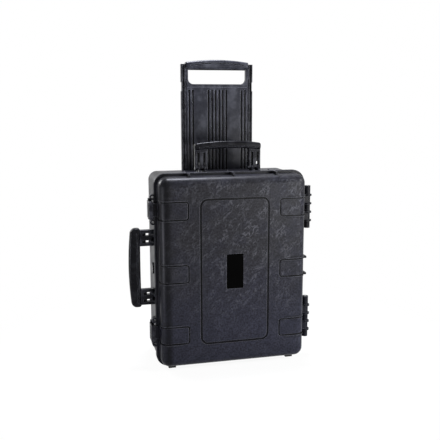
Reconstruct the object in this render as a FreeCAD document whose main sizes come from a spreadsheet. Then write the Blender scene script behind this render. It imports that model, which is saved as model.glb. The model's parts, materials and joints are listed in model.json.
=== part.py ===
import FreeCAD, Part
import Sketcher
import math
import os
from types import SimpleNamespace

# Wheeled hard case that stands upright on its wheel end.
# A shallow lid and a deep base meet at a flange and are sealed there. The lid swings on two hinges at its
# right side and two latches hold it at the left. One carry handle folds at the left and one on top. A flat
# trolley handle slides out of a channel in the back, and two wheels sit in the lower back corners.
# Millimetres, +Z up, X across the lid, +Y from the lid to the back. The origin is on the floor, in the
# middle of the case and of its depth, under the base's standing foot.

SIZES = {
    # Case walls
    "case_width": 430,
    "case_height": 550,
    "lid_depth": 57,
    "base_depth": 172,
    "wall_thick": 4,
    "corner_radius": 26,
    "lid_edge_radius": 24,
    "base_edge_radius": 14,
    "stand_height": 3,
    "fitting_rise": 2,
    "cut_overrun": 1,
    # Flange, seal and tongue at the parting plane
    "flange_reach": 9,
    "flange_thick": 9,
    "flange_edge": 2,
    "parting_gap": 0.4,
    "seal_inset": 0.5,
    "seal_width": 5,
    "seal_thick": 2.7,
    "seal_groove_depth": 5,
    "tongue_width": 4,
    "tongue_gap": 0.4,
    # Moulded lines, plate and ribs of the lid
    "panel_width": 199,
    "panel_height": 420,
    "panel_radius": 20,
    "panel_line": 6,
    "line_depth": 2.4,
    "pad_length": 80,
    "pad_height": 50,
    "pad_spacing": 180,
    "pad_radius": 7,
    "pad_line": 4,
    "bead_width": 3,
    "bead_rise": 1.2,
    "plate_width": 50,
    "plate_height": 102,
    "plate_radius": 3,
    "plate_thick": 0.8,
    "rib_thick": 4,
    "side_rib_thick": 6,
    "rib_spacing": 128,
    "rib_length": 30,
    # Hinges
    "hinge_spacing": 340,
    "hinge_reach": 23,
    "knuckle_radius": 9,
    "knuckle_length": 25.5,
    "knuckle_gap": 0.3,
    "collar_radius": 13,
    "collar_width": 5,
    "hinge_pin_radius": 3,
    "running_fit": 0.05,
    # Latches and padlock eyes
    "latch_spacing": 360,
    "latch_width": 50,
    "latch_reach": 17,
    "latch_setback": 17,
    "lever_thick": 5,
    "lever_length": 40,
    "lever_hub_radius": 6,
    "lever_edge": 2,
    "claw_depth": 8,
    "keeper_reach": 4,
    "keeper_height": 36,
    "keeper_depth": 5,
    "latch_gap": 0.4,
    "ear_thick": 5,
    "ear_radius": 6,
    "latch_pin_radius": 2.5,
    "eye_spacing": 72,
    "eye_radius": 8,
    "eye_hole_radius": 3.5,
    "eye_reach": 13,
    # Side carry handle
    "side_pivot_rise": 13,
    "side_handle_lift": 6,
    "side_grip_length": 234,
    "side_grip_width": 28,
    "side_grip_thick": 24,
    "side_bow_out": 7,
    "side_bow_in": 1.5,
    "side_end_radius": 16,
    "side_inner_radius": 8,
    "side_grip_edge": 7,
    "side_reach": 67,
    "side_arm_width": 47,
    "side_arm_inset": 6,
    "side_slot_offset": 10.5,
    "side_line_rise": 9,
    # Top carry handle
    "top_pivot_rise": 18,
    "top_grip_length": 198,
    "top_grip_width": 20,
    "top_grip_thick": 24,
    "top_bow_out": 7,
    "top_bow_in": 6,
    "top_end_radius": 7,
    "top_inner_radius": 7,
    "top_grip_edge": 6,
    "top_reach": 77,
    "top_arm_width": 36,
    "top_arm_inset": 1,
    "top_slot_offset": 8.5,
    "top_line_rise": 6,
    # Shared by both carry handles
    "handle_setback": 30,
    "arm_thick": 16,
    "arm_edge": 2,
    "arm_channel_depth": 5,
    "slot_reach": 16,
    "slot_gap": 0.4,
    "grip_line": 2.4,
    "grip_line_depth": 1.8,
    "grip_line_end": 14,
    "lug_thick": 7,
    "lug_radius": 8,
    "lug_foot": 5,
    "lug_flare": 5,
    "lug_neck_gap": 1,
    "handle_pin_radius": 3,
    "spine_thick": 10,
    "spine_width": 5,
    # Trolley handle
    "trolley_width": 222,
    "trolley_thick": 14,
    "trolley_gap": 0.5,
    "trolley_out": 318,
    "trolley_travel": 300,
    "panel_length": 457,
    "rail_width": 13,
    "rail_line": 4,
    "rail_line_depth": 3,
    "rail_notch_height": 27,
    "rail_notch_depth": 2,
    "rail_notch_drop": 53,
    "rib_line_width": 5.5,
    "rib_line_spacing": 11.1,
    "rib_line_depth": 4,
    "rib_line_end": 7,
    "rib_line_radius": 1.8,
    "seam_line": 3,
    "seam_line_depth": 3,
    "panel_foot": 30,
    "band_height": 9,
    "opening_height": 45,
    "opening_inset": 8,
    "opening_radius": 16,
    "bar_drop": 14,
    "bar_height": 19.5,
    "bar_bow": 7.5,
    "bar_thick": 24,
    "bar_edge": 7,
    "bar_end_radius": 4,
    "bar_line_rise": 8.5,
    "cover_thick": 5,
    "cover_height": 465,
    "cover_lap": 12,
    "cover_radius": 6,
    "channel_wall": 15,
    "channel_end_gap": 5,
    "cover_line_width": 14,
    "cover_line_spacing": 34,
    "cover_line_depth": 2,
    "cover_line_end": 34,
    "cover_line_radius": 6,
    # Release bar, rods and lock bolts of the trolley handle
    "release_length": 176,
    "release_thick": 10,
    "release_show": 3.5,
    "release_height": 7.5,
    "release_travel": 4,
    "release_gap": 0.4,
    "release_arm_height": 4,
    "release_arm_thick": 7,
    "release_edge": 3.2,
    "rod_radius": 1.5,
    "rod_inset": 4.5,
    "rod_gap": 0.4,
    "bolt_length": 24,
    "bolt_height": 12,
    "bolt_thick": 8,
    "bolt_show": 3,
    "bolt_rise": 10,
    "bolt_gap": 0.4,
    # Wheels and their housings
    "wheel_radius": 34,
    "wheel_lift": 0.5,
    "wheel_setback": 34.5,
    "tyre_width": 28,
    "tyre_edge": 5,
    "tyre_thick": 10,
    "hub_width": 34,
    "hub_boss_radius": 10,
    "hub_web_thick": 12,
    "hub_rim_thick": 4,
    "hub_rim_width": 26,
    "hub_hole_radius": 3.5,
    "axle_radius": 4,
    "axle_head_radius": 6,
    "axle_head": 2,
    "hub_gap": 0.6,
    "cheek_thick": 4.5,
    "housing_gap": 0.3,
    "housing_inset": 3,
    "housing_height": 66,
    "well_depth": 75,
    # Screws
    "screw_radius": 1.75,
    "screw_head_radius": 4,
    "screw_head": 2.4,
    "screw_length": 12,
    "screw_margin": 11,
    # Pressure valve
    "valve_setback": 40,
    "valve_body_radius": 20,
    "valve_body_thick": 4,
    "valve_stem_radius": 6.5,
    "valve_stem_reach": 4,
    "valve_shaft_radius": 4,
    "valve_shaft_length": 5,
    "valve_knob_radius": 16.5,
    "valve_knob_thick": 6.5,
    "valve_knob_edge": 0.8,
    "valve_gap": 0.4,
    "valve_notch_radius": 2.5,
    "valve_ring_radius": 8.5,
    "valve_ring_thick": 1.4,
    "valve_groove_depth": 3,
    "valve_groove_width": 3,
    # Feet
    "foot_width": 22,
    "foot_depth": 24,
    "foot_edge": 2,
    "lid_foot_spacing": 360,
    "lid_foot_setback": 36,
    "lid_foot_depth": 11,
    "stand_foot_width": 260,
    "rear_foot_spacing": 240,
    "rear_foot_setback": 16,
}

KNUCKLES = 5
HUB_HOLES = 6
CENTRE_LINES = 6
SIDE_LINES = 2
COVER_LINES = 6
VALVE_NOTCHES = 12
COVER_SCREW_SHARES = (0.04, 0.35, 0.65, 0.96)
PANEL_SCREW_SHARES = (0.12, 0.5, 0.88)
TOUCH_SHARE = 1e-5

doc = FreeCAD.newDocument("WheeledCase")
sheet = doc.addObject("Spreadsheet::Sheet", "Sizes")
for row, (alias, number) in enumerate(SIZES.items(), start=1):
    sheet.set(f"A{row}", str(number))
    sheet.setAlias(f"A{row}", alias)
doc.recompute()


class Length:
    """A length with its value and the sheet formula that gives it."""

    def __init__(self, value, formula):
        self.value = value
        self.formula = formula

    def __add__(self, other):
        other = as_length(other)
        return Length(self.value + other.value, f"({self.formula} + {other.formula})")

    def __radd__(self, other):
        return as_length(other) + self

    def __sub__(self, other):
        other = as_length(other)
        return Length(self.value - other.value, f"({self.formula} - {other.formula})")

    def __rsub__(self, other):
        return as_length(other) - self

    def __mul__(self, factor):
        return Length(self.value * factor, f"({self.formula} * {factor})")

    __rmul__ = __mul__

    def __truediv__(self, factor):
        return Length(self.value / factor, f"({self.formula} / {factor})")

    def __neg__(self):
        return Length(-self.value, f"(-1 * {self.formula})")


def as_length(item):
    """Turn a plain zero or a count into a Length, and leave a Length as it is."""
    if isinstance(item, Length):
        return item
    return Length(item, str(item))


def bow_radius(half_chord, bow):
    """Radius of the arc that spans a chord and rises by the bow in its middle."""
    value = (half_chord.value ** 2 + bow.value ** 2) / (2 * bow.value)
    chord_text = f"{half_chord.formula} ^ 2 + {bow.formula} ^ 2"
    return Length(value, f"(({chord_text}) / (2 * {bow.formula}))")


s = SimpleNamespace(**{name: Length(number, f"Sizes.{name}") for name, number in SIZES.items()})
TOUCH = TOUCH_SHARE * s.case_width.value

# Places that several pieces share
half_width = s.case_width / 2
case_low = s.stand_height + s.flange_reach
case_top = case_low + s.case_height
fitting_mid = case_low + s.case_height / 2 + s.fitting_rise
back_y = (s.lid_depth + s.base_depth) / 2
front_y = -back_y
parting_y = front_y + s.lid_depth
lid_rim = parting_y - s.parting_gap / 2
base_rim = parting_y + s.parting_gap / 2
lid_flange_front = lid_rim - s.flange_thick
base_flange_back = base_rim + s.flange_thick
flange_x = half_width + s.flange_reach
root_depth = s.wall_thick / 2
hinge_x = half_width + s.hinge_reach
latch_x = -(half_width + s.latch_reach)
latch_y = parting_y + s.latch_setback
eye_x = -(half_width + s.eye_reach)
handle_y = parting_y + s.handle_setback
trolley_half = s.trolley_width / 2
panel_half = trolley_half - s.rail_width
trolley_back = back_y - s.cover_thick - s.trolley_gap
trolley_front = trolley_back - s.trolley_thick
trolley_mid = trolley_back - s.trolley_thick / 2
channel_floor = trolley_front - s.trolley_gap
channel_half = trolley_half + s.trolley_gap
rail_top = case_top + s.trolley_out
opening_top = rail_top - s.bar_drop
opening_low = opening_top - s.opening_height
panel_top = opening_low - s.band_height
panel_low = panel_top - s.panel_length
channel_low = panel_low - s.trolley_travel - s.channel_end_gap
wheel_x = half_width - s.housing_inset - s.cheek_thick - s.hub_gap - s.hub_width / 2
wheel_y = back_y - s.wheel_setback
wheel_z = s.wheel_radius + s.wheel_lift
housing_out = half_width - s.housing_inset
housing_in = wheel_x - s.hub_width / 2 - s.hub_gap - s.cheek_thick
housing_top = case_low + s.housing_height
well_in = housing_in - s.housing_gap
well_top = housing_top + s.housing_gap
well_front = back_y - s.well_depth
valve_y = parting_y + s.valve_setback

TURNS = {
    "x": FreeCAD.Rotation(FreeCAD.Vector(0, 1, 0), 90),
    "y": FreeCAD.Rotation(FreeCAD.Vector(1, 0, 0), -90),
    "z": FreeCAD.Rotation(),
}
SIDE_TURN = FreeCAD.Rotation(FreeCAD.Vector(0, 1, 0), -90)
TOP_TURN = FreeCAD.Rotation()
nodes = []


def bind(item, path, length):
    """Tie one property to the sheet."""
    item.setExpression(path, as_length(length).formula)


def place(item, x, y, z, turn=None):
    """Set an object's turn and tie its position to the sheet."""
    if turn is not None:
        item.Placement = FreeCAD.Placement(FreeCAD.Vector(), turn)
    for axis, length in zip("xyz", (x, y, z)):
        bind(item, f"Placement.Base.{axis}", length)
    return item


def span_of(middle, size):
    """Low and high end of a size about its middle."""
    return (middle - size / 2, middle + size / 2)


def size_box(box, x, y, z):
    """Give a box its three spans, each a low and a high end."""
    for name, span in zip(("Length", "Width", "Height"), (x, y, z)):
        bind(box, name, as_length(span[1]) - span[0])
    return place(box, x[0], y[0], z[0])


def block(name, x, y, z):
    """Square block between three spans."""
    return size_box(doc.addObject("Part::Box", name), x, y, z)


def rod(name, axis, start, radius, length):
    """Cylinder from a start point along one axis."""
    item = doc.addObject("Part::Cylinder", name)
    bind(item, "Radius", radius)
    bind(item, "Height", length)
    return place(item, *start, TURNS[axis])


def fuse(name, items):
    """One solid from several that overlap or touch."""
    item = doc.addObject("Part::MultiFuse", name)
    item.Shapes = items
    item.Refine = True
    return item


def cut(name, base, tools):
    """A solid less one or several others."""
    item = doc.addObject("Part::Cut", name)
    item.Base = base
    item.Tool = tools[0] if len(tools) == 1 else fuse(name + "_tools", tools)
    item.Refine = True
    return item


def group(name, items):
    """Like pieces that stay separate solids in one node."""
    item = doc.addObject("Part::Compound", name)
    item.Links = items
    return item


def node(item):
    """Mark a finished piece of the case."""
    nodes.append(item)
    return item


def along(axis):
    """Choose straight edges that run along one axis."""
    others = [name for name in "XYZ" if name != axis.upper()]
    return lambda edge: all(getattr(edge.BoundBox, name + "Length") < TOUCH for name in others)


def at_level(axis, *levels):
    """Choose edges that lie flat at one of the given levels of an axis."""
    name = axis.upper()

    def chosen(edge):
        box = edge.BoundBox
        flat = getattr(box, name + "Length") < TOUCH
        return flat and any(abs(getattr(box, name + "Min") - level.value) < TOUCH for level in levels)

    return chosen


def soften(body, radius, chosen):
    """Round the chosen edges of a body."""
    doc.recompute()
    tip = body.Tip
    names = [f"Edge{number}" for number, edge in enumerate(tip.Shape.Edges, start=1) if chosen(edge)]
    rounding = body.newObject("PartDesign::Fillet", body.Name + "_round")
    rounding.Base = (tip, names)
    bind(rounding, "Radius", radius)
    return body


def rounded_block(name, x, y, z, radius, axis="y"):
    """Block whose four edges along one axis are rounded."""
    body = doc.addObject("PartDesign::Body", name)
    size_box(body.newObject("PartDesign::AdditiveBox", name + "_block"), x, y, z)
    return soften(body, radius, along(axis))


def case_block(name, offset, y):
    """Rounded block of the case's outline, grown by an offset all round."""
    x = (-half_width - offset, half_width + offset)
    z = (case_low - offset, case_top + offset)
    return rounded_block(name, x, y, z, s.corner_radius + offset)


def case_ring(name, inner, outer, y):
    """Ring that follows the case's outline between two offsets."""
    over = (y[0] - s.cut_overrun, y[1] + s.cut_overrun)
    return cut(name, case_block(name + "_outer", outer, y), [case_block(name + "_inner", inner, over)])


def outline_slab(name, corners, thick):
    """Slab whose outline in the XZ plane runs through the corners; a corner may start an arc of a radius."""
    body = doc.addObject("PartDesign::Body", name)
    sketch = body.newObject("Sketcher::SketchObject", name + "_outline")
    plane = [item for item in body.Origin.OriginFeatures if item.Role == "XZ_Plane"][0]
    sketch.AttachmentSupport = [(plane, "")]
    sketch.MapMode = "FlatFace"
    points = [FreeCAD.Vector(as_length(x).value, as_length(z).value, 0) for x, z, _, _ in corners]
    for index, (_, _, radius, bow) in enumerate(corners):
        start = points[index]
        end = points[(index + 1) % len(points)]
        if radius is None:
            sketch.addGeometry(Part.LineSegment(start, end))
        else:
            middle = (start + end) / 2 + FreeCAD.Vector(0, bow.value, 0)
            sketch.addGeometry(Part.Arc(start, middle, end))
    ends = []
    for index, start in enumerate(points):
        near = (sketch.getPoint(index, 1) - start).Length < TOUCH
        ends.append((1, 2) if near else (2, 1))
    for index, (x, z, radius, _) in enumerate(corners):
        after = (index + 1) % len(corners)
        sketch.addConstraint(Sketcher.Constraint("Coincident", index, ends[index][1], after, ends[after][0]))
        for kind, length in (("DistanceX", x), ("DistanceY", z)):
            length = as_length(length)
            held = Sketcher.Constraint(kind, -1, 1, index, ends[index][0], length.value)
            bind(sketch, f"Constraints[{sketch.addConstraint(held)}]", length)
        if radius is not None:
            held = Sketcher.Constraint("Radius", index, radius.value)
            bind(sketch, f"Constraints[{sketch.addConstraint(held)}]", radius)
    pad = body.newObject("PartDesign::Pad", name + "_pad")
    pad.Profile = sketch
    pad.SideType = "Symmetric"
    bind(pad, "Length", thick)
    return body


def grip_line(name, half, level, bow, thick):
    """Tool for a bowed groove along the front and the back of a grip, about the middle of its thickness."""
    over = s.cut_overrun
    top = level + s.grip_line
    corners = [
        (-half, level, bow_radius(half, bow), bow),
        (half, level, None, None),
        (half, top, bow_radius(half, bow), bow),
        (-half, top, None, None),
    ]
    band = outline_slab(name + "_band", corners, thick + over * 2)
    core_y = span_of(as_length(0), thick - s.grip_line_depth * 2)
    core = block(name + "_core", (-(half + over), half + over), core_y, (level - over, top + bow + over))
    return cut(name, band, [core])


def screw(name, axis, head_start, shank_start, shank_length):
    """Screw with a flat head and a plain shank, both along one axis."""
    head = rod(name + "_head", axis, head_start, s.screw_head_radius, s.screw_head)
    shank = rod(name + "_shank", axis, shank_start, s.screw_radius, shank_length)
    return fuse(name, [head, shank])


def round_bar(name, start, radius, length, edge):
    """Cylinder along X with both rims rounded."""
    body = doc.addObject("PartDesign::Body", name)
    bar = body.newObject("PartDesign::AdditiveCylinder", name + "_bar")
    bind(bar, "Radius", radius)
    bind(bar, "Height", length)
    place(bar, *start, TURNS["x"])
    return soften(body, edge, at_level("x", start[0], start[0] + length))


def fitting_levels(spacing):
    """Heights of a lower and an upper fitting, spaced about the middle."""
    return {"lower": fitting_mid - spacing / 2, "upper": fitting_mid + spacing / 2}


def knuckle_spans(level):
    """Low and high end of each knuckle of a hinge."""
    middles = [level + s.knuckle_length * (n - (KNUCKLES - 1) / 2) for n in range(KNUCKLES)]
    return [span_of(middle, s.knuckle_length - s.knuckle_gap) for middle in middles]


def knuckles(name, first, y):
    """Every second knuckle of both hinges: barrel, web to the wall, and a collar below the next one."""
    items = []
    for which, level in fitting_levels(s.hinge_spacing).items():
        for number, z in list(enumerate(knuckle_spans(level)))[first::2]:
            start = (hinge_x, parting_y, z[0])
            items.append(rod(f"{name}_{which}_{number}", "z", start, s.knuckle_radius, z[1] - z[0]))
            items.append(block(f"{name}_web_{which}_{number}", (half_width - root_depth, hinge_x), y, z))
            if number < KNUCKLES - 1:
                spot = (hinge_x, parting_y, z[1] - s.collar_width)
                label = f"{name}_collar_{which}_{number}"
                items.append(rod(label, "z", spot, s.collar_radius, s.collar_width))
    return items


def hinge_bores(name, radius):
    """Pin holes of both hinges."""
    tools = []
    for which, level in fitting_levels(s.hinge_spacing).items():
        z = span_of(level, s.knuckle_length * KNUCKLES + s.cut_overrun * 2)
        tools.append(rod(f"{name}_{which}", "z", (hinge_x, parting_y, z[0]), radius, z[1] - z[0]))
    return tools


def eye_levels():
    """Heights of the padlock eyes, one below and one above each latch."""
    levels = fitting_levels(s.latch_spacing).values()
    return [level + s.eye_spacing / 2 * side for level in levels for side in (-1, 1)]


def eyes(name, y):
    """Padlock eyes: round lugs on the flange."""
    items = []
    for number, level in enumerate(eye_levels()):
        items.append(rod(f"{name}_{number}", "y", (eye_x, y[0], level), s.eye_radius, y[1] - y[0]))
        x = (eye_x, root_depth - half_width)
        items.append(block(f"{name}_root_{number}", x, y, span_of(level, s.eye_radius * 2)))
    return items


def eye_bores(name):
    """Holes through the padlock eyes of the lid and the base."""
    y = (lid_flange_front - s.cut_overrun, base_flange_back + s.cut_overrun)
    return [
        rod(f"{name}_{number}", "y", (eye_x, y[0], level), s.eye_hole_radius, y[1] - y[0])
        for number, level in enumerate(eye_levels())
    ]


def flange_ribs(name, y):
    """Short ribs beside the flange: three on top and two at the hinge side, in line with the middle pad."""
    items = []
    for number in (-1, 0, 1):
        x = span_of(s.rib_spacing * number, s.rib_thick)
        z = (case_top - root_depth, case_top + s.flange_reach)
        items.append(block(f"{name}_top_{number + 1}", x, y, z))
    for number in (-1, 1):
        level = fitting_mid + s.pad_height / 2 * number
        x = (half_width - root_depth, flange_x)
        items.append(block(f"{name}_side_{number + 1}", x, y, span_of(level, s.side_rib_thick)))
    return items


def lid_lines():
    """Moulded grooves of the lid: a large frame and six pads that run on round the edge."""
    y = (front_y - s.cut_overrun, lid_flange_front)
    outer = []
    inner = [case_block("lid_core", -s.line_depth, (front_y + s.line_depth, lid_rim))]
    soften(inner[0], s.lid_edge_radius - s.line_depth, at_level("y", front_y + s.line_depth))
    for items, grow in ((outer, s.panel_line / 2), (inner, -s.panel_line / 2)):
        x = span_of(as_length(0), s.panel_width + grow * 2)
        z = span_of(fitting_mid, s.panel_height + grow * 2)
        items.append(rounded_block("lid_frame_line", x, y, z, s.panel_radius + grow))
    for number in (-1, 0, 1):
        level = fitting_mid + s.pad_spacing * number
        for items, grow in ((outer, s.pad_line / 2), (inner, -s.pad_line / 2)):
            start = half_width - s.pad_length - grow
            end = half_width + s.pad_radius * 2
            z = span_of(level, s.pad_height + grow * 2)
            items.append(rounded_block("lid_pad_right", (start, end), y, z, s.pad_radius + grow))
            items.append(rounded_block("lid_pad_left", (-end, -start), y, z, s.pad_radius + grow))
    return cut("lid_line_tool", fuse("lid_line_outer", outer), inner)


def lid_beads():
    """Raised beads above and below each pad, round the lid's left and right edges."""
    y = (front_y - s.bead_rise, lid_rim - s.flange_edge)
    radius = s.lid_edge_radius + s.bead_rise
    beads = []
    offset = (s.pad_height + s.pad_line + s.bead_width) / 2
    for number in (-1, 0, 1):
        for step in (-1, 1):
            level = fitting_mid + s.pad_spacing * number + offset * step
            for side in ("left", "right"):
                x = mirrored(side, half_width - s.pad_length, half_width + s.bead_rise)
                z = span_of(level, s.bead_width)
                beads.append(rounded_block(f"lid_bead_{side}", x, y, z, radius, "z"))
    return beads


def build_lid():
    """Lid shell with its seal, plate and feet."""
    outer = case_block("lid_outer", as_length(0), (front_y, lid_rim))
    soften(outer, s.lid_edge_radius, at_level("y", front_y))
    room = case_block("lid_room", -s.wall_thick, (front_y + s.wall_thick, lid_rim + s.cut_overrun))
    soften(room, s.lid_edge_radius - s.wall_thick, at_level("y", front_y + s.wall_thick))
    flange = case_block("lid_flange", s.flange_reach, (lid_flange_front, lid_rim))
    soften(flange, s.flange_edge, at_level("y", lid_flange_front, lid_rim))
    solids = [cut("lid_face", outer, [lid_lines()]), flange] + lid_beads()
    solids += knuckles("lid_knuckle", 1, (lid_flange_front, lid_rim))
    for which, level in fitting_levels(s.latch_spacing).items():
        x = (-(flange_x + s.keeper_reach), root_depth - half_width)
        y = (lid_flange_front - s.keeper_depth, lid_rim)
        solids.append(block(f"lid_keeper_{which}", x, y, span_of(level, s.keeper_height)))
    solids += eyes("lid_eye", (lid_flange_front, lid_rim))
    solids += flange_ribs("lid_rib", (lid_flange_front - s.rib_length, lid_flange_front + root_depth))
    groove_y = (lid_rim - s.seal_groove_depth, lid_rim + s.cut_overrun)
    groove = case_ring("seal_groove", s.seal_inset, s.seal_inset + s.seal_width, groove_y)
    plate_x = span_of(as_length(0), s.plate_width)
    plate_y = (front_y, front_y + s.plate_thick)
    plate_z = span_of(fitting_mid, s.plate_height)
    plate = node(rounded_block("name_plate", plate_x, plate_y, plate_z, s.plate_radius))
    tools = [room, groove, plate] + eye_bores("lid_eye_bore")
    tools += hinge_bores("lid_hinge_bore", s.hinge_pin_radius + s.running_fit)
    node(cut("lid_shell", fuse("lid_solid", solids), tools))
    seal_y = (groove_y[0], groove_y[0] + s.seal_thick)
    node(case_ring("lid_seal", s.seal_inset, s.seal_inset + s.seal_width, seal_y))
    feet = []
    for side in (-1, 1):
        x = span_of(s.lid_foot_spacing / 2 * side, s.foot_width)
        y = (front_y + s.lid_foot_setback, front_y + s.lid_foot_setback + s.lid_foot_depth)
        feet.append(rounded_block("lid_foot", x, y, (0, case_low), s.foot_edge, "z"))
    node(group("lid_feet", feet))


def base_room():
    """Inside of the base, less the blocks round the trolley channel and the wheel wells."""
    room = case_block("base_room_box", -s.wall_thick, (base_rim - s.cut_overrun, back_y - s.wall_thick))
    soften(room, s.base_edge_radius - s.wall_thick, at_level("y", back_y - s.wall_thick))
    channel_x = channel_half + s.channel_wall
    channel_y = (channel_floor - s.wall_thick, back_y)
    channel_z = (channel_low - s.wall_thick, case_top)
    keep = [block("channel_block", (-channel_x, channel_x), channel_y, channel_z)]
    for side in ("left", "right"):
        x = mirrored(side, well_in - s.wall_thick, half_width)
        y = (well_front - s.wall_thick, back_y)
        keep.append(block(f"well_block_{side}", x, y, (0, well_top + s.wall_thick)))
    return cut("base_room", room, keep)


def mirrored(side, near, far):
    """X span between two distances from the middle, on the left or the right side."""
    return (-far, -near) if side == "left" else (near, far)


def channel_tools():
    """Cuts for the trolley channel, its cover, the cover's screws and the lock bolts' tracks."""
    top = case_top + s.cut_overrun
    behind = back_y + s.cut_overrun
    tools = [block("channel", (-channel_half, channel_half), (channel_floor, behind), (channel_low, top))]
    track = channel_half + s.bolt_show + s.bolt_gap
    track_y = span_of(trolley_mid, s.bolt_thick + s.bolt_gap * 2)
    tools.append(block("bolt_track", (-track, track), track_y, (channel_low, top)))
    return tools


def build_cover():
    """Cover plate of the trolley channel, with upright hollows in its back, and its screws."""
    half = channel_half + s.cover_lap
    y = (back_y - s.cover_thick, back_y)
    z = (channel_low, channel_low + s.cover_height)
    plate = rounded_block("cover_plate", (-half, half), y, z, s.cover_radius)
    screws = []
    for side in (-1, 1):
        for share in COVER_SCREW_SHARES:
            x = (channel_half + s.cover_lap / 2) * side
            z = channel_low + s.cover_height * share
            neck = back_y - s.screw_head
            shank_start = (x, neck - s.screw_length, z)
            screws.append(screw("cover_screw", "y", (x, neck, z), shank_start, s.screw_length))
    line_y = (back_y - s.cover_line_depth, back_y + s.cut_overrun)
    line_z = (channel_low + s.cover_line_end, channel_low + s.cover_height - s.cover_line_end)
    lines = []
    for number in range(COVER_LINES):
        x = span_of(s.cover_line_spacing * (number - (COVER_LINES - 1) / 2), s.cover_line_width)
        lines.append(rounded_block("cover_line", x, line_y, line_z, s.cover_line_radius))
    node(group("cover_screws", screws))
    node(cut("trolley_cover", plate, screws + lines))
    return [plate] + screws


def handle_parts(prefix, turn, spot):
    """Carry handle about its pivot axis: X along the grip, Z away from the wall."""
    size = SimpleNamespace(**{
        name: getattr(s, f"{prefix}_{name}")
        for name in ("pivot_rise", "grip_length", "grip_width", "grip_thick", "bow_out", "bow_in",
                     "end_radius", "inner_radius", "grip_edge", "reach", "arm_width", "arm_inset",
                     "slot_offset", "line_rise")
    })
    half = size.grip_length / 2
    end_top = size.reach - size.bow_out
    end_low = end_top - size.grip_width
    corners = [
        (-half, end_low, bow_radius(half, size.bow_in), size.bow_in),
        (half, end_low, None, None),
        (half, end_top, bow_radius(half, size.bow_out), size.bow_out),
        (-half, end_top, None, None),
    ]
    slab = outline_slab(f"{prefix}_grip_slab", corners, size.grip_thick)
    upright = along("y")
    middle = (end_low + end_top) / 2
    soften(slab, size.end_radius, lambda edge: upright(edge) and edge.BoundBox.ZMin > middle.value)
    soften(slab, size.inner_radius, lambda edge: upright(edge) and edge.BoundBox.ZMin < middle.value)
    soften(slab, size.grip_edge, at_level("y", size.grip_thick / 2, -size.grip_thick / 2))
    arm_y = span_of(as_length(0), s.arm_thick)
    spine_y = span_of(as_length(0), s.spine_thick)
    spine_mid = (end_low + size.bow_in + end_top) / 2
    spine_z = span_of(spine_mid, s.spine_width)
    arm_x = half - size.arm_inset - size.arm_width / 2
    core = [block(f"{prefix}_spine", (-arm_x, arm_x), spine_y, spine_z)]
    arms = []
    tools = []
    lugs = []
    pins = []
    for side in (-1, 1):
        mid = arm_x * side
        x = span_of(mid, size.arm_width)
        arm_z = (0, end_low + size.bow_in + s.arm_edge)
        arms.append(rounded_block(f"{prefix}_arm", x, arm_y, arm_z, s.arm_edge, "z"))
        arms.append(rod(f"{prefix}_arm_end", "x", (x[0], 0, 0), s.arm_thick / 2, size.arm_width))
        tenon_z = (end_low - s.arm_edge, spine_z[1])
        core.append(block(f"{prefix}_tenon", span_of(mid, size.arm_width / 2), spine_y, tenon_z))
        bore = s.handle_pin_radius + s.running_fit
        tools.append(rod(f"{prefix}_bore", "x", (x[0], 0, 0), bore, size.arm_width))
        pins.append(rod(f"{prefix}_pin", "x", (x[0], 0, 0), s.handle_pin_radius, size.arm_width))
        for step in (-1, 1):
            lug_mid = mid + size.slot_offset * step
            slot_x = span_of(lug_mid, s.lug_thick + s.slot_gap * 2)
            across = (-(s.arm_thick / 2 + s.cut_overrun), s.arm_thick / 2 + s.cut_overrun)
            slot_low = -(s.arm_thick / 2 + s.cut_overrun)
            tools.append(block(f"{prefix}_slot", slot_x, across, (slot_low, s.slot_reach)))
            channel_z = (s.slot_reach, end_low - s.arm_channel_depth)
            for face in (-1, 1):
                y = span_of(s.arm_thick / 2 * face, s.arm_channel_depth * 2)
                tools.append(block(f"{prefix}_channel", slot_x, y, channel_z))
            lugs += handle_lug(prefix, span_of(lug_mid, s.lug_thick), size.pivot_rise)
    arm_solid = cut(f"{prefix}_arms", fuse(f"{prefix}_arm_blocks", arms), [slab] + tools)
    frame = fuse(f"{prefix}_handle_frame", [arm_solid] + core)
    line_half = half - s.grip_line_end
    line = grip_line(f"{prefix}_line", line_half, end_low + size.line_rise, size.bow_in, size.grip_thick)
    grip = cut(f"{prefix}_handle_grip", slab, [fuse(f"{prefix}_core", core), line])
    pin_group = group(f"{prefix}_handle_pins", pins)
    lug_solid = cut(f"{prefix}_lugs", fuse(f"{prefix}_lug_blocks", lugs), pins)
    for item in (frame, grip, pin_group, lug_solid):
        place(item, *spot, turn)
    for item in (frame, grip, pin_group):
        node(item)
    return lug_solid


def handle_lug(prefix, x, rise):
    """Lug between two fingers of a handle's arm: round end, a shank that flares at the wall, and a foot."""
    low = -(rise + root_depth)
    neck = -(s.lug_radius + s.lug_neck_gap)
    corners = [
        (x[0], 0, None, None),
        (x[0], neck, None, None),
        (x[0] - s.lug_flare, -rise, None, None),
        (x[0] - s.lug_flare, low, None, None),
        (x[1] + s.lug_flare, low, None, None),
        (x[1] + s.lug_flare, -rise, None, None),
        (x[1], neck, None, None),
        (x[1], 0, None, None),
    ]
    shank = outline_slab(f"{prefix}_lug", corners, s.lug_radius * 2)
    end = rod(f"{prefix}_lug_end", "x", (x[0], 0, 0), s.lug_radius, s.lug_thick)
    wide = s.lug_radius + s.lug_foot
    foot = block(f"{prefix}_lug_foot", x, (-wide, wide), (low, s.lug_foot - rise))
    return [shank, end, foot]


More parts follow.
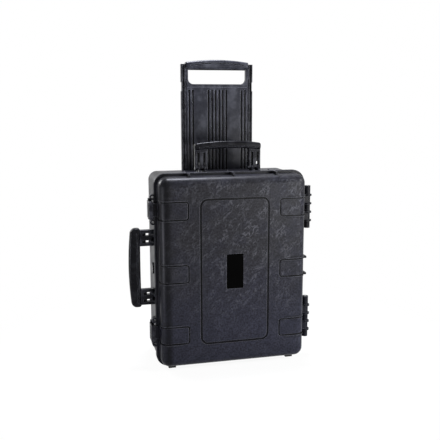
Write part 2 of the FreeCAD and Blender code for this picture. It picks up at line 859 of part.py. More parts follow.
def build_latches():
    """Latch levers with their pins; gives the base's ears and their pin holes."""
    ears = []
    pins = []
    for which, level in fitting_levels(s.latch_spacing).items():
        z = span_of(level, s.latch_width)
        hub = rod(f"latch_{which}_hub", "z", (latch_x, latch_y, z[0]), s.lever_hub_radius, s.latch_width)
        plate_out = latch_x - s.lever_hub_radius - s.lever_edge
        plate_in = plate_out + s.lever_thick
        plate_front = latch_y - s.lever_length
        plate_x = (plate_out, plate_in)
        plate_y = (plate_front, latch_y)
        plate = rounded_block(f"latch_{which}_plate", plate_x, plate_y, z, s.lever_edge, "z")
        nose = -(flange_x + s.keeper_reach + s.latch_gap)
        claw_x = (plate_out + s.lever_edge, nose)
        claw_y = (plate_front, plate_front + s.claw_depth)
        claw = rounded_block(f"latch_{which}_claw", claw_x, claw_y, z, s.lever_edge, "z")
        bore_radius = s.latch_pin_radius + s.running_fit
        bore = rod(f"latch_{which}_bore", "z", (latch_x, latch_y, z[0]), bore_radius, s.latch_width)
        node(cut(f"latch_{which}", fuse(f"latch_{which}_solid", [hub, plate, claw]), [bore]))
        ear_step = s.latch_width / 2 + s.latch_gap
        for side in (-1, 1):
            ear_z = span_of(level + (ear_step + s.ear_thick / 2) * side, s.ear_thick)
            ear_y = (latch_y - s.ear_radius, latch_y + s.ear_radius)
            ears.append(rod(f"ear_{which}", "z", (latch_x, latch_y, ear_z[0]), s.ear_radius, s.ear_thick))
            ears.append(block(f"ear_root_{which}", (latch_x, root_depth - half_width), ear_y, ear_z))
        pin_length = (ear_step + s.ear_thick) * 2
        pin_start = (latch_x, latch_y, level - pin_length / 2)
        pins.append(rod(f"latch_pin_{which}", "z", pin_start, s.latch_pin_radius, pin_length))
    node(group("latch_pins", pins))
    return ears, pins


def build_hinge_pins():
    """Steel pins as long as the hinges."""
    pins = []
    for which, level in fitting_levels(s.hinge_spacing).items():
        length = s.knuckle_length * KNUCKLES
        start = (hinge_x, parting_y, level - length / 2)
        pins.append(rod(f"hinge_pin_{which}", "z", start, s.hinge_pin_radius, length))
    node(group("hinge_pins", pins))


def build_valve():
    """Pressure valve on the left wall: seat, O-ring and knob; gives the hole in the wall."""
    wall_x = -half_width
    seat_x = wall_x - s.valve_body_thick
    stem_end = s.wall_thick + s.valve_stem_reach
    seat = rod("valve_seat", "x", (seat_x, valve_y, fitting_mid), s.valve_body_radius, s.valve_body_thick)
    stem = rod("valve_stem", "x", (wall_x, valve_y, fitting_mid), s.valve_stem_radius, stem_end)
    groove_start = (wall_x - s.valve_groove_depth, valve_y, fitting_mid)
    near = s.valve_ring_radius - s.valve_groove_width / 2
    far = s.valve_ring_radius + s.valve_groove_width / 2
    groove_in = rod("valve_groove_in", "x", groove_start, near, s.valve_groove_depth)
    groove_out = rod("valve_groove_out", "x", groove_start, far, s.valve_groove_depth)
    groove = cut("valve_groove", groove_out, [groove_in])
    bore_radius = s.valve_shaft_radius + s.running_fit
    bore_length = s.valve_shaft_length + s.valve_gap
    bore = rod("valve_bore", "x", (seat_x, valve_y, fitting_mid), bore_radius, bore_length)
    node(cut("valve_body", fuse("valve_body_solid", [seat, stem]), [groove, bore]))
    ring = doc.addObject("Part::Torus", "valve_ring")
    bind(ring, "Radius1", s.valve_ring_radius)
    bind(ring, "Radius2", s.valve_ring_thick)
    node(place(ring, wall_x - s.valve_groove_depth / 2, valve_y, fitting_mid, TURNS["x"]))
    knob_x = seat_x - s.valve_gap - s.valve_knob_thick
    knob_start = (knob_x, valve_y, fitting_mid)
    disc = round_bar("valve_disc", knob_start, s.valve_knob_radius, s.valve_knob_thick, s.valve_knob_edge)
    shaft_start = (seat_x - s.valve_gap, valve_y, fitting_mid)
    shaft_length = s.valve_gap + s.valve_shaft_length
    shaft = rod("valve_shaft", "x", shaft_start, s.valve_shaft_radius, shaft_length)
    notches = []
    notch_length = s.valve_knob_thick + s.cut_overrun
    for number in range(VALVE_NOTCHES):
        turn = 2 * math.pi * number / VALVE_NOTCHES
        spot_y = valve_y + s.valve_knob_radius * math.cos(turn)
        spot_z = fitting_mid + s.valve_knob_radius * math.sin(turn)
        spot = (knob_x - s.cut_overrun, spot_y, spot_z)
        notches.append(rod("valve_notch", "x", spot, s.valve_notch_radius, notch_length))
    node(fuse("valve_knob", [cut("valve_grip", disc, notches), shaft]))
    return [stem]


def build_wheel(side):
    """Wheel with tyre and hub, its housing and axle; gives the axle and the housing's screws."""
    sign = -1 if side == "left" else 1
    mid = wheel_x * sign
    tyre_start = (mid - s.tyre_width / 2, wheel_y, wheel_z)
    tread = round_bar(f"tread_{side}", tyre_start, s.wheel_radius, s.tyre_width, s.tyre_edge)
    inner = s.wheel_radius - s.tyre_thick
    disc = rod(f"wheel_disc_{side}", "x", tyre_start, inner, s.tyre_width)
    node(cut(f"tyre_{side}", tread, [disc]))
    rim = rod(f"hub_rim_{side}", "x", (mid - s.hub_rim_width / 2, wheel_y, wheel_z), inner, s.hub_rim_width)
    dish = inner - s.hub_rim_thick
    dish_depth = (s.hub_rim_width - s.hub_web_thick) / 2
    dishes = [
        rod(f"hub_dish_{side}", "x", (start, wheel_y, wheel_z), dish, dish_depth)
        for start in (mid - s.hub_rim_width / 2, mid + s.hub_web_thick / 2)
    ]
    holes = []
    for number in range(HUB_HOLES):
        turn = 2 * math.pi * number / HUB_HOLES
        radius = (dish + s.hub_boss_radius) / 2
        spot_y = wheel_y + radius * math.cos(turn)
        spot_z = wheel_z + radius * math.sin(turn)
        spot = (mid - s.hub_rim_width / 2, spot_y, spot_z)
        holes.append(rod(f"hub_hole_{side}", "x", spot, s.hub_hole_radius, s.hub_rim_width))
    hub_start = (mid - s.hub_width / 2, wheel_y, wheel_z)
    boss = rod(f"hub_boss_{side}", "x", hub_start, s.hub_boss_radius, s.hub_width)
    bore = rod(f"hub_bore_{side}", "x", hub_start, s.axle_radius + s.running_fit, s.hub_width)
    wheel = fuse(f"hub_solid_{side}", [cut(f"hub_disc_{side}", rim, dishes + holes), boss])
    node(cut(f"hub_{side}", wheel, [bore]))
    out_x = mirrored(side, housing_in, housing_out)
    in_x = mirrored(side, housing_in + s.cheek_thick, housing_out - s.cheek_thick)
    front = well_front + s.housing_gap
    shell = block(f"housing_out_{side}", out_x, (front, back_y - s.housing_inset), (case_low, housing_top))
    in_y = (front + s.cheek_thick, back_y)
    hollow = block(f"housing_in_{side}", in_x, in_y, (0, housing_top - s.cheek_thick))
    pin = rod(f"axle_pin_{side}", "x", (out_x[0], wheel_y, wheel_z), s.axle_radius, out_x[1] - out_x[0])
    head_x = -(housing_out + s.axle_head) if side == "left" else housing_out
    head = rod(f"axle_head_{side}", "x", (head_x, wheel_y, wheel_z), s.axle_head_radius, s.axle_head)
    axle = fuse(f"axle_{side}", [pin, head])
    screws = []
    shank = s.cheek_thick + s.housing_gap + s.wall_thick
    seat = (housing_in + s.cheek_thick) * sign
    for y in (well_front + s.screw_margin, back_y - s.screw_margin):
        z = housing_top - s.screw_margin
        head_start = seat - s.screw_head if side == "left" else seat
        shank_start = seat if side == "left" else seat - shank
        screws.append(screw(f"housing_screw_{side}", "x", (head_start, y, z), (shank_start, y, z), shank))
    node(cut(f"wheel_housing_{side}", shell, [hollow, axle] + screws))
    well_x = mirrored(side, well_in, half_width + s.cut_overrun)
    well = block(f"well_{side}", well_x, (well_front, back_y + s.cut_overrun), (0, well_top))
    return axle, screws, well


def build_base():
    """Base shell and what is fixed to it."""
    outer = case_block("base_outer", as_length(0), (base_rim, back_y))
    soften(outer, s.base_edge_radius, at_level("y", back_y))
    flange = case_block("base_flange", s.flange_reach, (base_rim, base_flange_back))
    soften(flange, s.flange_edge, at_level("y", base_rim, base_flange_back))
    tongue_in = s.seal_inset + (s.seal_width - s.tongue_width) / 2
    tongue_tip = lid_rim - s.seal_groove_depth + s.seal_thick + s.tongue_gap
    tongue = case_ring("tongue", tongue_in, tongue_in + s.tongue_width, (tongue_tip, base_rim + root_depth))
    ears, latch_pins = build_latches()
    side_spot = (-(half_width + s.side_pivot_rise), handle_y, fitting_mid + s.side_handle_lift)
    side_lugs = handle_parts("side", SIDE_TURN, side_spot)
    top_lugs = handle_parts("top", TOP_TURN, (0, handle_y, case_top + s.top_pivot_rise))
    solids = [outer, flange, tongue, side_lugs, top_lugs] + ears
    solids += knuckles("base_knuckle", 0, (base_rim, base_flange_back))
    solids += eyes("base_eye", (base_rim, base_flange_back))
    solids += flange_ribs("base_rib", (base_flange_back - root_depth, base_flange_back + s.rib_length))
    tools = [base_room()] + channel_tools() + build_cover() + latch_pins + build_valve()
    tools += eye_bores("base_eye_bore") + hinge_bores("base_hinge_bore", s.hinge_pin_radius)
    axles = []
    screws = []
    for side in ("left", "right"):
        axle, side_screws, well = build_wheel(side)
        axles.append(axle)
        screws += side_screws
        tools += [well] + side_screws
    node(group("wheel_axles", axles))
    node(group("housing_screws", screws))
    node(cut("base_shell", fuse("base_solid", solids), tools))
    build_hinge_pins()
    stand_x = span_of(as_length(0), s.stand_foot_width)
    stand_y = span_of(as_length(0), s.foot_depth)
    feet = [rounded_block("stand_foot", stand_x, stand_y, (0, case_low), s.foot_edge, "z")]
    for side in (-1, 1):
        x = span_of(s.rear_foot_spacing / 2 * side, s.foot_width)
        y = (back_y - s.rear_foot_setback - s.foot_depth, back_y - s.rear_foot_setback)
        feet.append(rounded_block("rear_foot", x, y, (0, case_low), s.foot_edge, "z"))
    node(group("base_feet", feet))


def panel_lines():
    """Upright grooves on both faces of the trolley panel."""
    places = [s.rib_line_spacing * (n - (CENTRE_LINES - 1) / 2) for n in range(CENTRE_LINES)]
    for n in range(SIDE_LINES):
        edge = panel_half - s.rib_line_spacing * (n + 1)
        places += [edge, -edge]
    z = (panel_low + s.panel_foot, panel_top - s.rib_line_end)
    lines = []
    for middle in places:
        x = span_of(middle, s.rib_line_width)
        for face in (trolley_front, trolley_back):
            y = span_of(face, s.rib_line_depth * 2)
            lines.append(rounded_block("panel_line", x, y, z, s.rib_line_radius))
    return lines


def seam_lines():
    """Grooves along the panel's and the grip's outer edges, where they meet the rails."""
    z = (panel_low + s.panel_foot, opening_low + s.opening_radius)
    lines = []
    for side in ("left", "right"):
        x = mirrored(side, panel_half - s.seam_line, panel_half)
        for face in (trolley_front, trolley_back):
            lines.append(block(f"seam_line_{side}", x, span_of(face, s.seam_line_depth * 2), z))
    return lines


def build_trolley():
    """Sliding handle: ribbed panel, side rails, grip, release bar with rods, and lock bolts."""
    thick = (trolley_front, trolley_back)
    panel = block("panel_block", (-panel_half, panel_half), thick, (panel_low, panel_top))
    rod_x = panel_half - s.rod_inset
    press_z = opening_top - s.release_show
    arm_z = (press_z + s.release_height, press_z + s.release_height + s.release_arm_height)
    bolt_z = (panel_low + s.bolt_rise, panel_low + s.bolt_rise + s.bolt_height)
    rod_z = (bolt_z[1] + s.rod_gap, arm_z[0])
    bolt_x = trolley_half + s.bolt_show
    pocket_z = (bolt_z[0] - s.bolt_gap, bolt_z[1] + s.bolt_gap)
    pocket_y = span_of(trolley_mid, s.bolt_thick + s.bolt_gap * 2)
    rails = []
    screws = []
    rods = []
    rod_bores = []
    pockets = []
    for side in ("left", "right"):
        sign = -1 if side == "left" else 1
        rail_x = mirrored(side, panel_half, trolley_half)
        rails.append(block(f"rail_{side}", rail_x, thick, (panel_low, rail_top)))
        levels = [panel_low + s.panel_length * share for share in PANEL_SCREW_SHARES]
        for z in levels + [(opening_low + opening_top) / 2]:
            neck = (trolley_half - s.screw_head) * sign
            outer = trolley_half * sign
            head = outer if side == "left" else neck
            shank = neck if side == "left" else neck - s.screw_length
            head_start = (head, trolley_mid, z)
            shank_start = (shank, trolley_mid, z)
            screws.append(screw(f"trolley_screw_{side}", "x", head_start, shank_start, s.screw_length))
        x = rod_x * sign
        rod_start = (x, trolley_mid, rod_z[0])
        rods.append(rod(f"release_rod_{side}", "z", rod_start, s.rod_radius, rod_z[1] - rod_z[0]))
        bore_start = (x, trolley_mid, pocket_z[1])
        bore_length = arm_z[0] - pocket_z[1]
        rod_bores.append(rod(f"rod_bore_{side}", "z", bore_start, s.rod_radius + s.rod_gap, bore_length))
        near = bolt_x - s.bolt_length
        pocket_near = near - s.release_travel - s.bolt_gap
        pockets.append(block(f"bolt_pocket_{side}", mirrored(side, pocket_near, bolt_x), pocket_y, pocket_z))
        bolt_y = span_of(trolley_mid, s.bolt_thick)
        node(block(f"lock_bolt_{side}", mirrored(side, near, bolt_x), bolt_y, bolt_z))
    node(group("trolley_screws", screws))
    node(group("release_rods", rods))
    seams = seam_lines()
    node(cut("trolley_panel", panel, panel_lines() + seams + rod_bores + pockets + screws))
    build_rails(rails, pockets + screws)
    build_grip(thick, press_z, arm_z, rod_x, seams + rod_bores + screws)


def build_rails(rails, holes):
    """Side rails with a groove in each face and a notch in the outer edge."""
    finished = []
    for sign, rail in zip((-1, 1), rails):
        middle = (panel_half + s.rail_width / 2) * sign
        line_x = span_of(middle, s.rail_line)
        line_z = (panel_low + s.panel_foot, rail_top - s.rail_line)
        tools = [
            block("rail_line", line_x, span_of(face, s.rail_line_depth * 2), line_z)
            for face in (trolley_front, trolley_back)
        ]
        notch_top = rail_top - s.rail_notch_drop
        notch_x = span_of(trolley_half * sign, s.rail_notch_depth * 2)
        notch_y = (trolley_front - s.cut_overrun, trolley_back + s.cut_overrun)
        notch_z = (notch_top - s.rail_notch_height, notch_top)
        tools.append(block("rail_notch", notch_x, notch_y, notch_z))
        finished.append(cut("rail", rail, tools + holes))
    node(group("trolley_rails", finished))


def build_grip(thick, press_z, arm_z, rod_x, holes):
    """Grip frame with its hand opening and bowed bar, and the release bar under it."""
    legs = block("grip_legs", (-panel_half, panel_half), thick, (panel_top, opening_top + s.bar_height / 2))
    hand_x = panel_half - s.opening_inset
    hand_y = (thick[0] - s.cut_overrun, thick[1] + s.cut_overrun)
    hand_z = (opening_low, opening_top + s.bar_height)
    hand = rounded_block("hand_opening", (-hand_x, hand_x), hand_y, hand_z, s.opening_radius)
    corners = [
        (-panel_half, opening_top, None, None),
        (panel_half, opening_top, None, None),
        (panel_half, opening_top + s.bar_height, bow_radius(panel_half, s.bar_bow), s.bar_bow),
        (-panel_half, opening_top + s.bar_height, None, None),
    ]
    bar = outline_slab("grip_bar", corners, s.bar_thick)
    upright = along("y")
    low = opening_top.value + TOUCH
    soften(bar, s.bar_end_radius, lambda edge: upright(edge) and edge.BoundBox.ZMin > low)
    soften(bar, s.bar_edge, at_level("y", s.bar_thick / 2, -s.bar_thick / 2))
    place(bar, 0, trolley_mid, 0)
    press_x = s.release_length / 2
    press_y = span_of(trolley_mid, s.release_thick)
    arm_x = rod_x + s.rod_radius
    arm_y = span_of(trolley_mid, s.release_arm_thick)
    finger_z = (press_z, arm_z[1])
    press = rounded_block("release_finger", (-press_x, press_x), press_y, finger_z, s.release_edge, "x")
    arms = block("release_arms", (-arm_x, arm_x), arm_y, arm_z)
    node(fuse("release_bar", [press, arms]))
    gap = s.release_gap
    lift = s.release_travel + gap
    press_room = span_of(trolley_mid, s.release_thick + gap * 2)
    arm_room = span_of(trolley_mid, s.release_arm_thick + gap * 2)
    room_top = arm_z[1] + lift
    press_span = span_of(as_length(0), (press_x + gap) * 2)
    arm_span = span_of(as_length(0), (arm_x + gap) * 2)
    slots = [
        block("press_slot", press_span, press_room, (opening_top - s.cut_overrun, room_top)),
        block("arm_slot", arm_span, arm_room, (arm_z[0] - gap, room_top)),
    ]
    line_half = panel_half - s.grip_line_end
    line = grip_line("bar_line", line_half, opening_top + s.bar_line_rise, s.bar_bow, s.bar_thick)
    place(line, 0, trolley_mid, 0)
    frame = fuse("grip_solid", [cut("grip_frame", legs, [hand]), bar])
    node(cut("trolley_grip", frame, slots + holes + [line]))


def check_model():
    """Stop if any object failed or any piece is empty or broken."""
    doc.recompute()
    failed = [item.Name for item in doc.Objects if {"Invalid", "Error"} & set(item.State)]
    if failed:
        raise RuntimeError("failed objects: " + ", ".join(failed))
    for item in nodes:
        if item.Shape.isNull() or not item.Shape.isValid() or not item.Shape.Solids:
            raise RuntimeError("broken piece: " + item.Label)


def write_parts():
    """Write each piece to a file named for it."""
    os.makedirs("parts", exist_ok=True)
    for item in nodes:
        item.Shape.exportStep(os.path.join("parts", item.Label + ".step"))
        print(item.Label, len(item.Shape.Solids), "solids", round(item.Shape.Volume), "mm3")


build_lid()
build_base()
build_trolley()
check_model()
write_parts()
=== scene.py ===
import json
import math

import bmesh
import bpy
import numpy as np
from bpy.props import FloatProperty, FloatVectorProperty, IntProperty, PointerProperty
from mathutils import Matrix, Vector


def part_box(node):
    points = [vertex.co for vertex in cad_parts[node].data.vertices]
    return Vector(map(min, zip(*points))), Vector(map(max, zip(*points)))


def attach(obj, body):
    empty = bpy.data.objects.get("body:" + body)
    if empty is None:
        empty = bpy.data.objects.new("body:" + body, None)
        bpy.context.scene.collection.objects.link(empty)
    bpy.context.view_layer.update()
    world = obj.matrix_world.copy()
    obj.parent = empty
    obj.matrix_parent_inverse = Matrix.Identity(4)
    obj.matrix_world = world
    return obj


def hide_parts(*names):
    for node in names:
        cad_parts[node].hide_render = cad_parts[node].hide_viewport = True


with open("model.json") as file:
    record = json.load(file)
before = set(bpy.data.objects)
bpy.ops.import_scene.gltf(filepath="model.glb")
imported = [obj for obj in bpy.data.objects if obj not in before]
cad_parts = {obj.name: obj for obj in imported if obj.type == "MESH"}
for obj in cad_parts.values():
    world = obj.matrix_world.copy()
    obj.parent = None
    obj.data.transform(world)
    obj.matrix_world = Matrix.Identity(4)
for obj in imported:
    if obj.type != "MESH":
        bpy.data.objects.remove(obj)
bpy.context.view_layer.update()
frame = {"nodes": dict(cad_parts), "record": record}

bl_info = {
    "name": "Wheeled hard case",
    "version": (1, 0, 0),
    "blender": (4, 5, 0),
    "location": "View3D > Sidebar > Case",
    "description": "Dresses the packed frame of a wheeled waterproof hard case",
    "category": "Object",
}

MM = 0.001
FULL_TURN = 2 * np.pi
QUARTER_TURN = np.pi / 2


def linear(colour):
    """Linear red, green and blue of an sRGB hex colour."""
    parts = np.array([int(colour[i:i + 2], 16) / 255 for i in (1, 3, 5)])
    curve = np.where(parts <= 0.04045, parts / 12.92, ((parts + 0.055) / 1.055) ** 2.4)
    return tuple(float(part) for part in curve)


def colour_property(label, text, colour):
    """Colour that a user may change."""
    return FloatVectorProperty(
        name=label, description=text, default=linear(colour), subtype="COLOR", size=3, min=0, max=1)


def length_property(label, text, millimetres):
    """Length that a user may change, shown in scene units."""
    return FloatProperty(name=label, description=text, default=millimetres * MM, unit="LENGTH")


def angle_property(label, text, degrees):
    """Angle that a user may change."""
    return FloatProperty(name=label, description=text, default=math.radians(degrees), subtype="ANGLE")


def power_property(label, text, watts):
    """Power of a lamp that a user may change."""
    return FloatProperty(name=label, description=text, default=watts, min=0, unit="POWER")


def count_property(label, text, count):
    """Number of like features that a user may change."""
    return IntProperty(name=label, description=text, default=count, min=3)


class CaseFinish(bpy.types.PropertyGroup):
    """Colours of the case's plastics, rubber and steel, and of the floor."""

    shell: colour_property("Shell", "Black polypropylene of the lid and the base", "#242428")
    # Cooler black low on the shell is painted bluish light; in clouds it is random tone.
    shell_cool_tone_and_painted_light: colour_property("Cool shell", "Cooler black, low on the shell and in clouds", "#252631")
    # Also the painted highlight on the shell's edges, strongest on the flanges.
    shell_pale_scuffs_and_highlights: colour_property("Scuffs", "Pale scuffs and rubbed edges of the shell", "#66676E")
    # Also the painted shade of the shell's dark band and hinges and the painted shadow low on the trolley.
    shade: colour_property("Shade", "Shade in moulded lines", "#030304")
    fitting: colour_property("Fittings", "Black nylon of latches, arms, rails and housings", "#151519")
    grip: colour_property("Grips", "Black ABS of the carry handles' grips", "#0A0A0D")
    trolley: colour_property("Trolley", "Black ABS of the trolley's panel and grip", "#1F2027")
    plate: colour_property("Plate", "Blank plate in the middle of the lid", "#010101")
    rubber: colour_property("Rubber", "Seals, feet and tyres", "#151516")
    steel: colour_property("Steel", "Pins and axles", "#A9AAAD")
    black_steel: colour_property("Black steel", "Oxidised screws", "#3A3B3E")
    paper: colour_property("Paper", "Floor near the case", "#EFEFEF")


class CaseForms(bpy.types.PropertyGroup):
    """Sizes of the pieces that stand in for plainer ones of the frame."""

    head_radius: length_property("Screw head", "Radius of a screw's head", 4)
    head_thick: length_property("Head thickness", "Thickness of a screw's head", 2.4)
    shank_radius: length_property("Screw shank", "Radius of a screw's shank", 1.75)
    recess_depth: length_property("Recess depth", "Depth of the cross in a screw's head", 1.3)
    recess_width: length_property("Recess width", "Width of the arms of that cross", 1.4)
    recess_reach: length_property("Recess reach", "Length of the arms of that cross", 2.7)
    tyre_edge: length_property("Tyre edge", "Radius of a tyre's shoulders", 5)
    tread_depth: length_property("Tread depth", "Depth of the grooves of a tyre", 1.4)
    tread_width: length_property("Tread width", "Width of the two grooves round a tyre", 2.6)
    tread_notches: count_property("Notches", "Notches in each shoulder of a tyre", 24)
    spokes: count_property("Spokes", "Spokes of a hub", 6)
    pocket_depth: length_property("Pocket depth", "Depth of the hollows between the spokes", 3.4)
    lever_edge: length_property("Lever edge", "Rounding of a latch lever's ends", 1.6)
    ridge_depth: length_property("Ridge depth", "Depth of the finger ridges on a latch lever", 0.9)
    ridge_spacing: length_property("Ridge spacing", "Distance between those ridges", 4.2)
    web_thick: length_property("Lug web", "Thickness of the webs between flange and handle lugs", 7)
    web_rise: length_property("Web rise", "Rise of those webs above the edge of the flange", 3)


class CaseStage(bpy.types.PropertyGroup):
    """Camera, lamps and floor."""

    focal: FloatProperty(
        name="Focal length", description="Lens of the camera", default=54.35, min=1,
        subtype="DISTANCE_CAMERA")
    yaw: angle_property("Yaw", "Turn of the camera to the right", 13.96)
    pitch: angle_property("Pitch", "Tilt of the camera downwards", 9.91)
    roll: angle_property("Roll", "Turn of the camera about its view", -0.13)
    spot: FloatVectorProperty(
        name="Camera place", description="Where the camera stands", default=(-0.489, -1.9025, 0.762),
        subtype="XYZ", unit="LENGTH")
    floor_size: length_property("Floor", "Width of the floor", 9000)
    key_power: power_property("Key", "Power of the key lamp", 95)
    top_power: power_property("Top", "Power of the overhead lamp", 110)
    front_power: power_property("Front", "Power of the low front lamp", 80)
    back_power: power_property("Back", "Power of the lamp behind the case", 80)
    side_power: power_property("Side", "Power of the lamp at the left", 13)
    ambient: FloatProperty(
        name="Ambient", description="Strength of the world on matt surfaces", default=0.18, min=0)


# Sockets of a Mix node for colours: factor, first and second colour, and result.
MIX_FACTOR = 0
MIX_FIRST = 6
MIX_SECOND = 7
MIX_RESULT = 2


def add(tree, kind, inputs=None, **settings):
    """Add a node, set its properties, and set or link its inputs."""
    node = tree.nodes.new(kind)
    for name, value in settings.items():
        setattr(node, name, value)
    for name, value in (inputs or {}).items():
        if isinstance(value, bpy.types.NodeSocket):
            tree.links.new(value, node.inputs[name])
        else:
            node.inputs[name].default_value = value
    return node


def new_material(name):
    """Empty node material with its tree, shader and object coordinates."""
    material = bpy.data.materials.new(name)
    material.use_nodes = True
    tree = material.node_tree
    tree.nodes.clear()
    shader = add(tree, "ShaderNodeBsdfPrincipled")
    add(tree, "ShaderNodeOutputMaterial", {"Surface": shader.outputs[0]})
    place = add(tree, "ShaderNodeTexCoord").outputs["Object"]
    return material, tree, shader, place


def connect(tree, shader, colour, rough, bump):
    """Link a material's colour, roughness and bump to its shader."""
    tree.links.new(colour, shader.inputs["Base Color"])
    tree.links.new(rough, shader.inputs["Roughness"])
    tree.links.new(bump, shader.inputs["Normal"])


# Shares of open surroundings between which a moulded line goes from painted shade to full colour, and
# cosines between the rounded and the plain normal at which an edge is sound and fully rubbed. A rubbed
# edge is partly real wear and partly a painted highlight.
OPEN_SPAN = (0.76, 0.98)
RUBBED_AND_HIGHLIT_SPAN = (0.995, 0.84)


def moulded_edges(tree, edge_mm, reach_mm, rub):
    """Normal with edges rounded as by a mould, how open a spot is, and how far an edge is rubbed.

    Openness sets the painted shade in lines and recesses, and a rubbed edge also carries a painted highlight.
    """
    soft = add(tree, "ShaderNodeBevel", {"Radius": edge_mm * MM}, samples=6).outputs[0]
    sky = add(tree, "ShaderNodeAmbientOcclusion", {"Distance": reach_mm * MM}, samples=8, only_local=True)
    opened = add(tree, "ShaderNodeMapRange", {
        "Value": sky.outputs["AO"], "From Min": OPEN_SPAN[0], "From Max": OPEN_SPAN[1]}).outputs[0]
    face = add(tree, "ShaderNodeNewGeometry").outputs["True Normal"]
    along = add(tree, "ShaderNodeVectorMath", {0: soft, 1: face}, operation="DOT_PRODUCT")
    # Rubbed edges: partly wear, partly a painted highlight where light would catch the rounding.
    rubbed_and_highlit = add(tree, "ShaderNodeMapRange", {
        "Value": along.outputs["Value"], "From Min": RUBBED_AND_HIGHLIT_SPAN[0], "From Max": RUBBED_AND_HIGHLIT_SPAN[1],
        "To Max": rub}).outputs[0]
    return soft, opened, rubbed_and_highlit


# Patterns of the shell's plastic: whether they lie slanted, size in millimetres, detail, roughness and
# distortion. The pebbles are about 1 mm apart on such a shell; they are drawn at 5 mm so that they show.
SHELL_PATTERNS = {
    "pebble": (False, 5, 3.0, 0.5, 0.0),
    "cloud": (False, 70, 4.0, 0.6, 0.0),
    "streak": (True, 16, 4.0, 0.6, 0.6),
    "mottle": (True, 24, 3.0, 0.6, 0.8),
}
SCUFF_SLANT = math.radians(38)
SCUFF_STRETCH = 1.7
# A scuff is a thin line where the streaks pass this level, and fades out by this much beside it.
SCUFF_LEVEL = 0.5
SCUFF_WIDTH = 0.04
# How the finish follows the patterns: pattern, two levels of it, and the values at these levels.
SHELL_SPREADS = {
    "speck": ("pebble", 0.35, 0.6, 0.4, 1.0),
    "blot": ("mottle", 0.44, 0.64, 0.08, 1.0),
    "cloudy": ("cloud", 0.35, 0.65, 0.55, 1.2),
    "wave": ("mottle", 0.35, 0.65, 0.8, 1.0),
    "rough": ("mottle", 0.3, 0.7, 0.3, 0.42),
}
# How it follows the place on the case: axis, two places in millimetres, and the values there. Scuffs lie
# high up and to the right on the lid's face, and low down the black turns cooler as painted bluish light.
# Painted light leaves the shell darker to the left and lighter to the right, painted shade darkens the
# hinges, and the flanges' edges carry the strongest painted highlight.
SHELL_ZONES = {
    "high": ("Z", 120, 340, 0.12, 1.0),
    "right": ("X", -190, 20, 0.2, 1.0),
    "front": ("Y", -111, -112.5, 0.05, 0.38),
    # Painted light from the right: the shell darker towards the left.
    "dust_and_painted_light": ("X", -190, 100, 0.78, 1.0),
    # Painted shade on the hinges: darker, with fainter edges.
    "hinge_shade": ("X", 212, 217, 1.0, 0.4),
    "flange_highlight": ("Y", -85, -70, 1.0, 2.2),
}
# Bands on the case: axis, middle, two distances from it in millimetres, and the values there. A painted
# dark band runs along the lid's left rounding, and the painted shade between the flanges is thin because
# light gets in from all round.
SHELL_BANDS = {
    # Painted dark band along the lid's left rounding.
    "left_rounding_dark_band": ("X", -194, 4, 14, 0.3, 1.0),
    "thin": ("Y", -64, 12, 20, 0.7, 0.0),
}
# What is multiplied for the scuffs, the edges that are rubbed and painted with a highlight, the warmer
# black with its painted bluish light low down, and the tone of the grain with its painted light and shade.
SHELL_PRODUCTS = {
    "scuff": ("line", "blot", "front", "high", "right"),
    "edges": ("rubbed_and_highlit", "flange_highlight", "hinge_shade"),
    "warmth_and_painted_light": ("high", "cloudy"),
    "tone_and_painted_shade": ("speck", "dust_and_painted_light", "left_rounding_dark_band", "wave", "hinge_shade"),
}


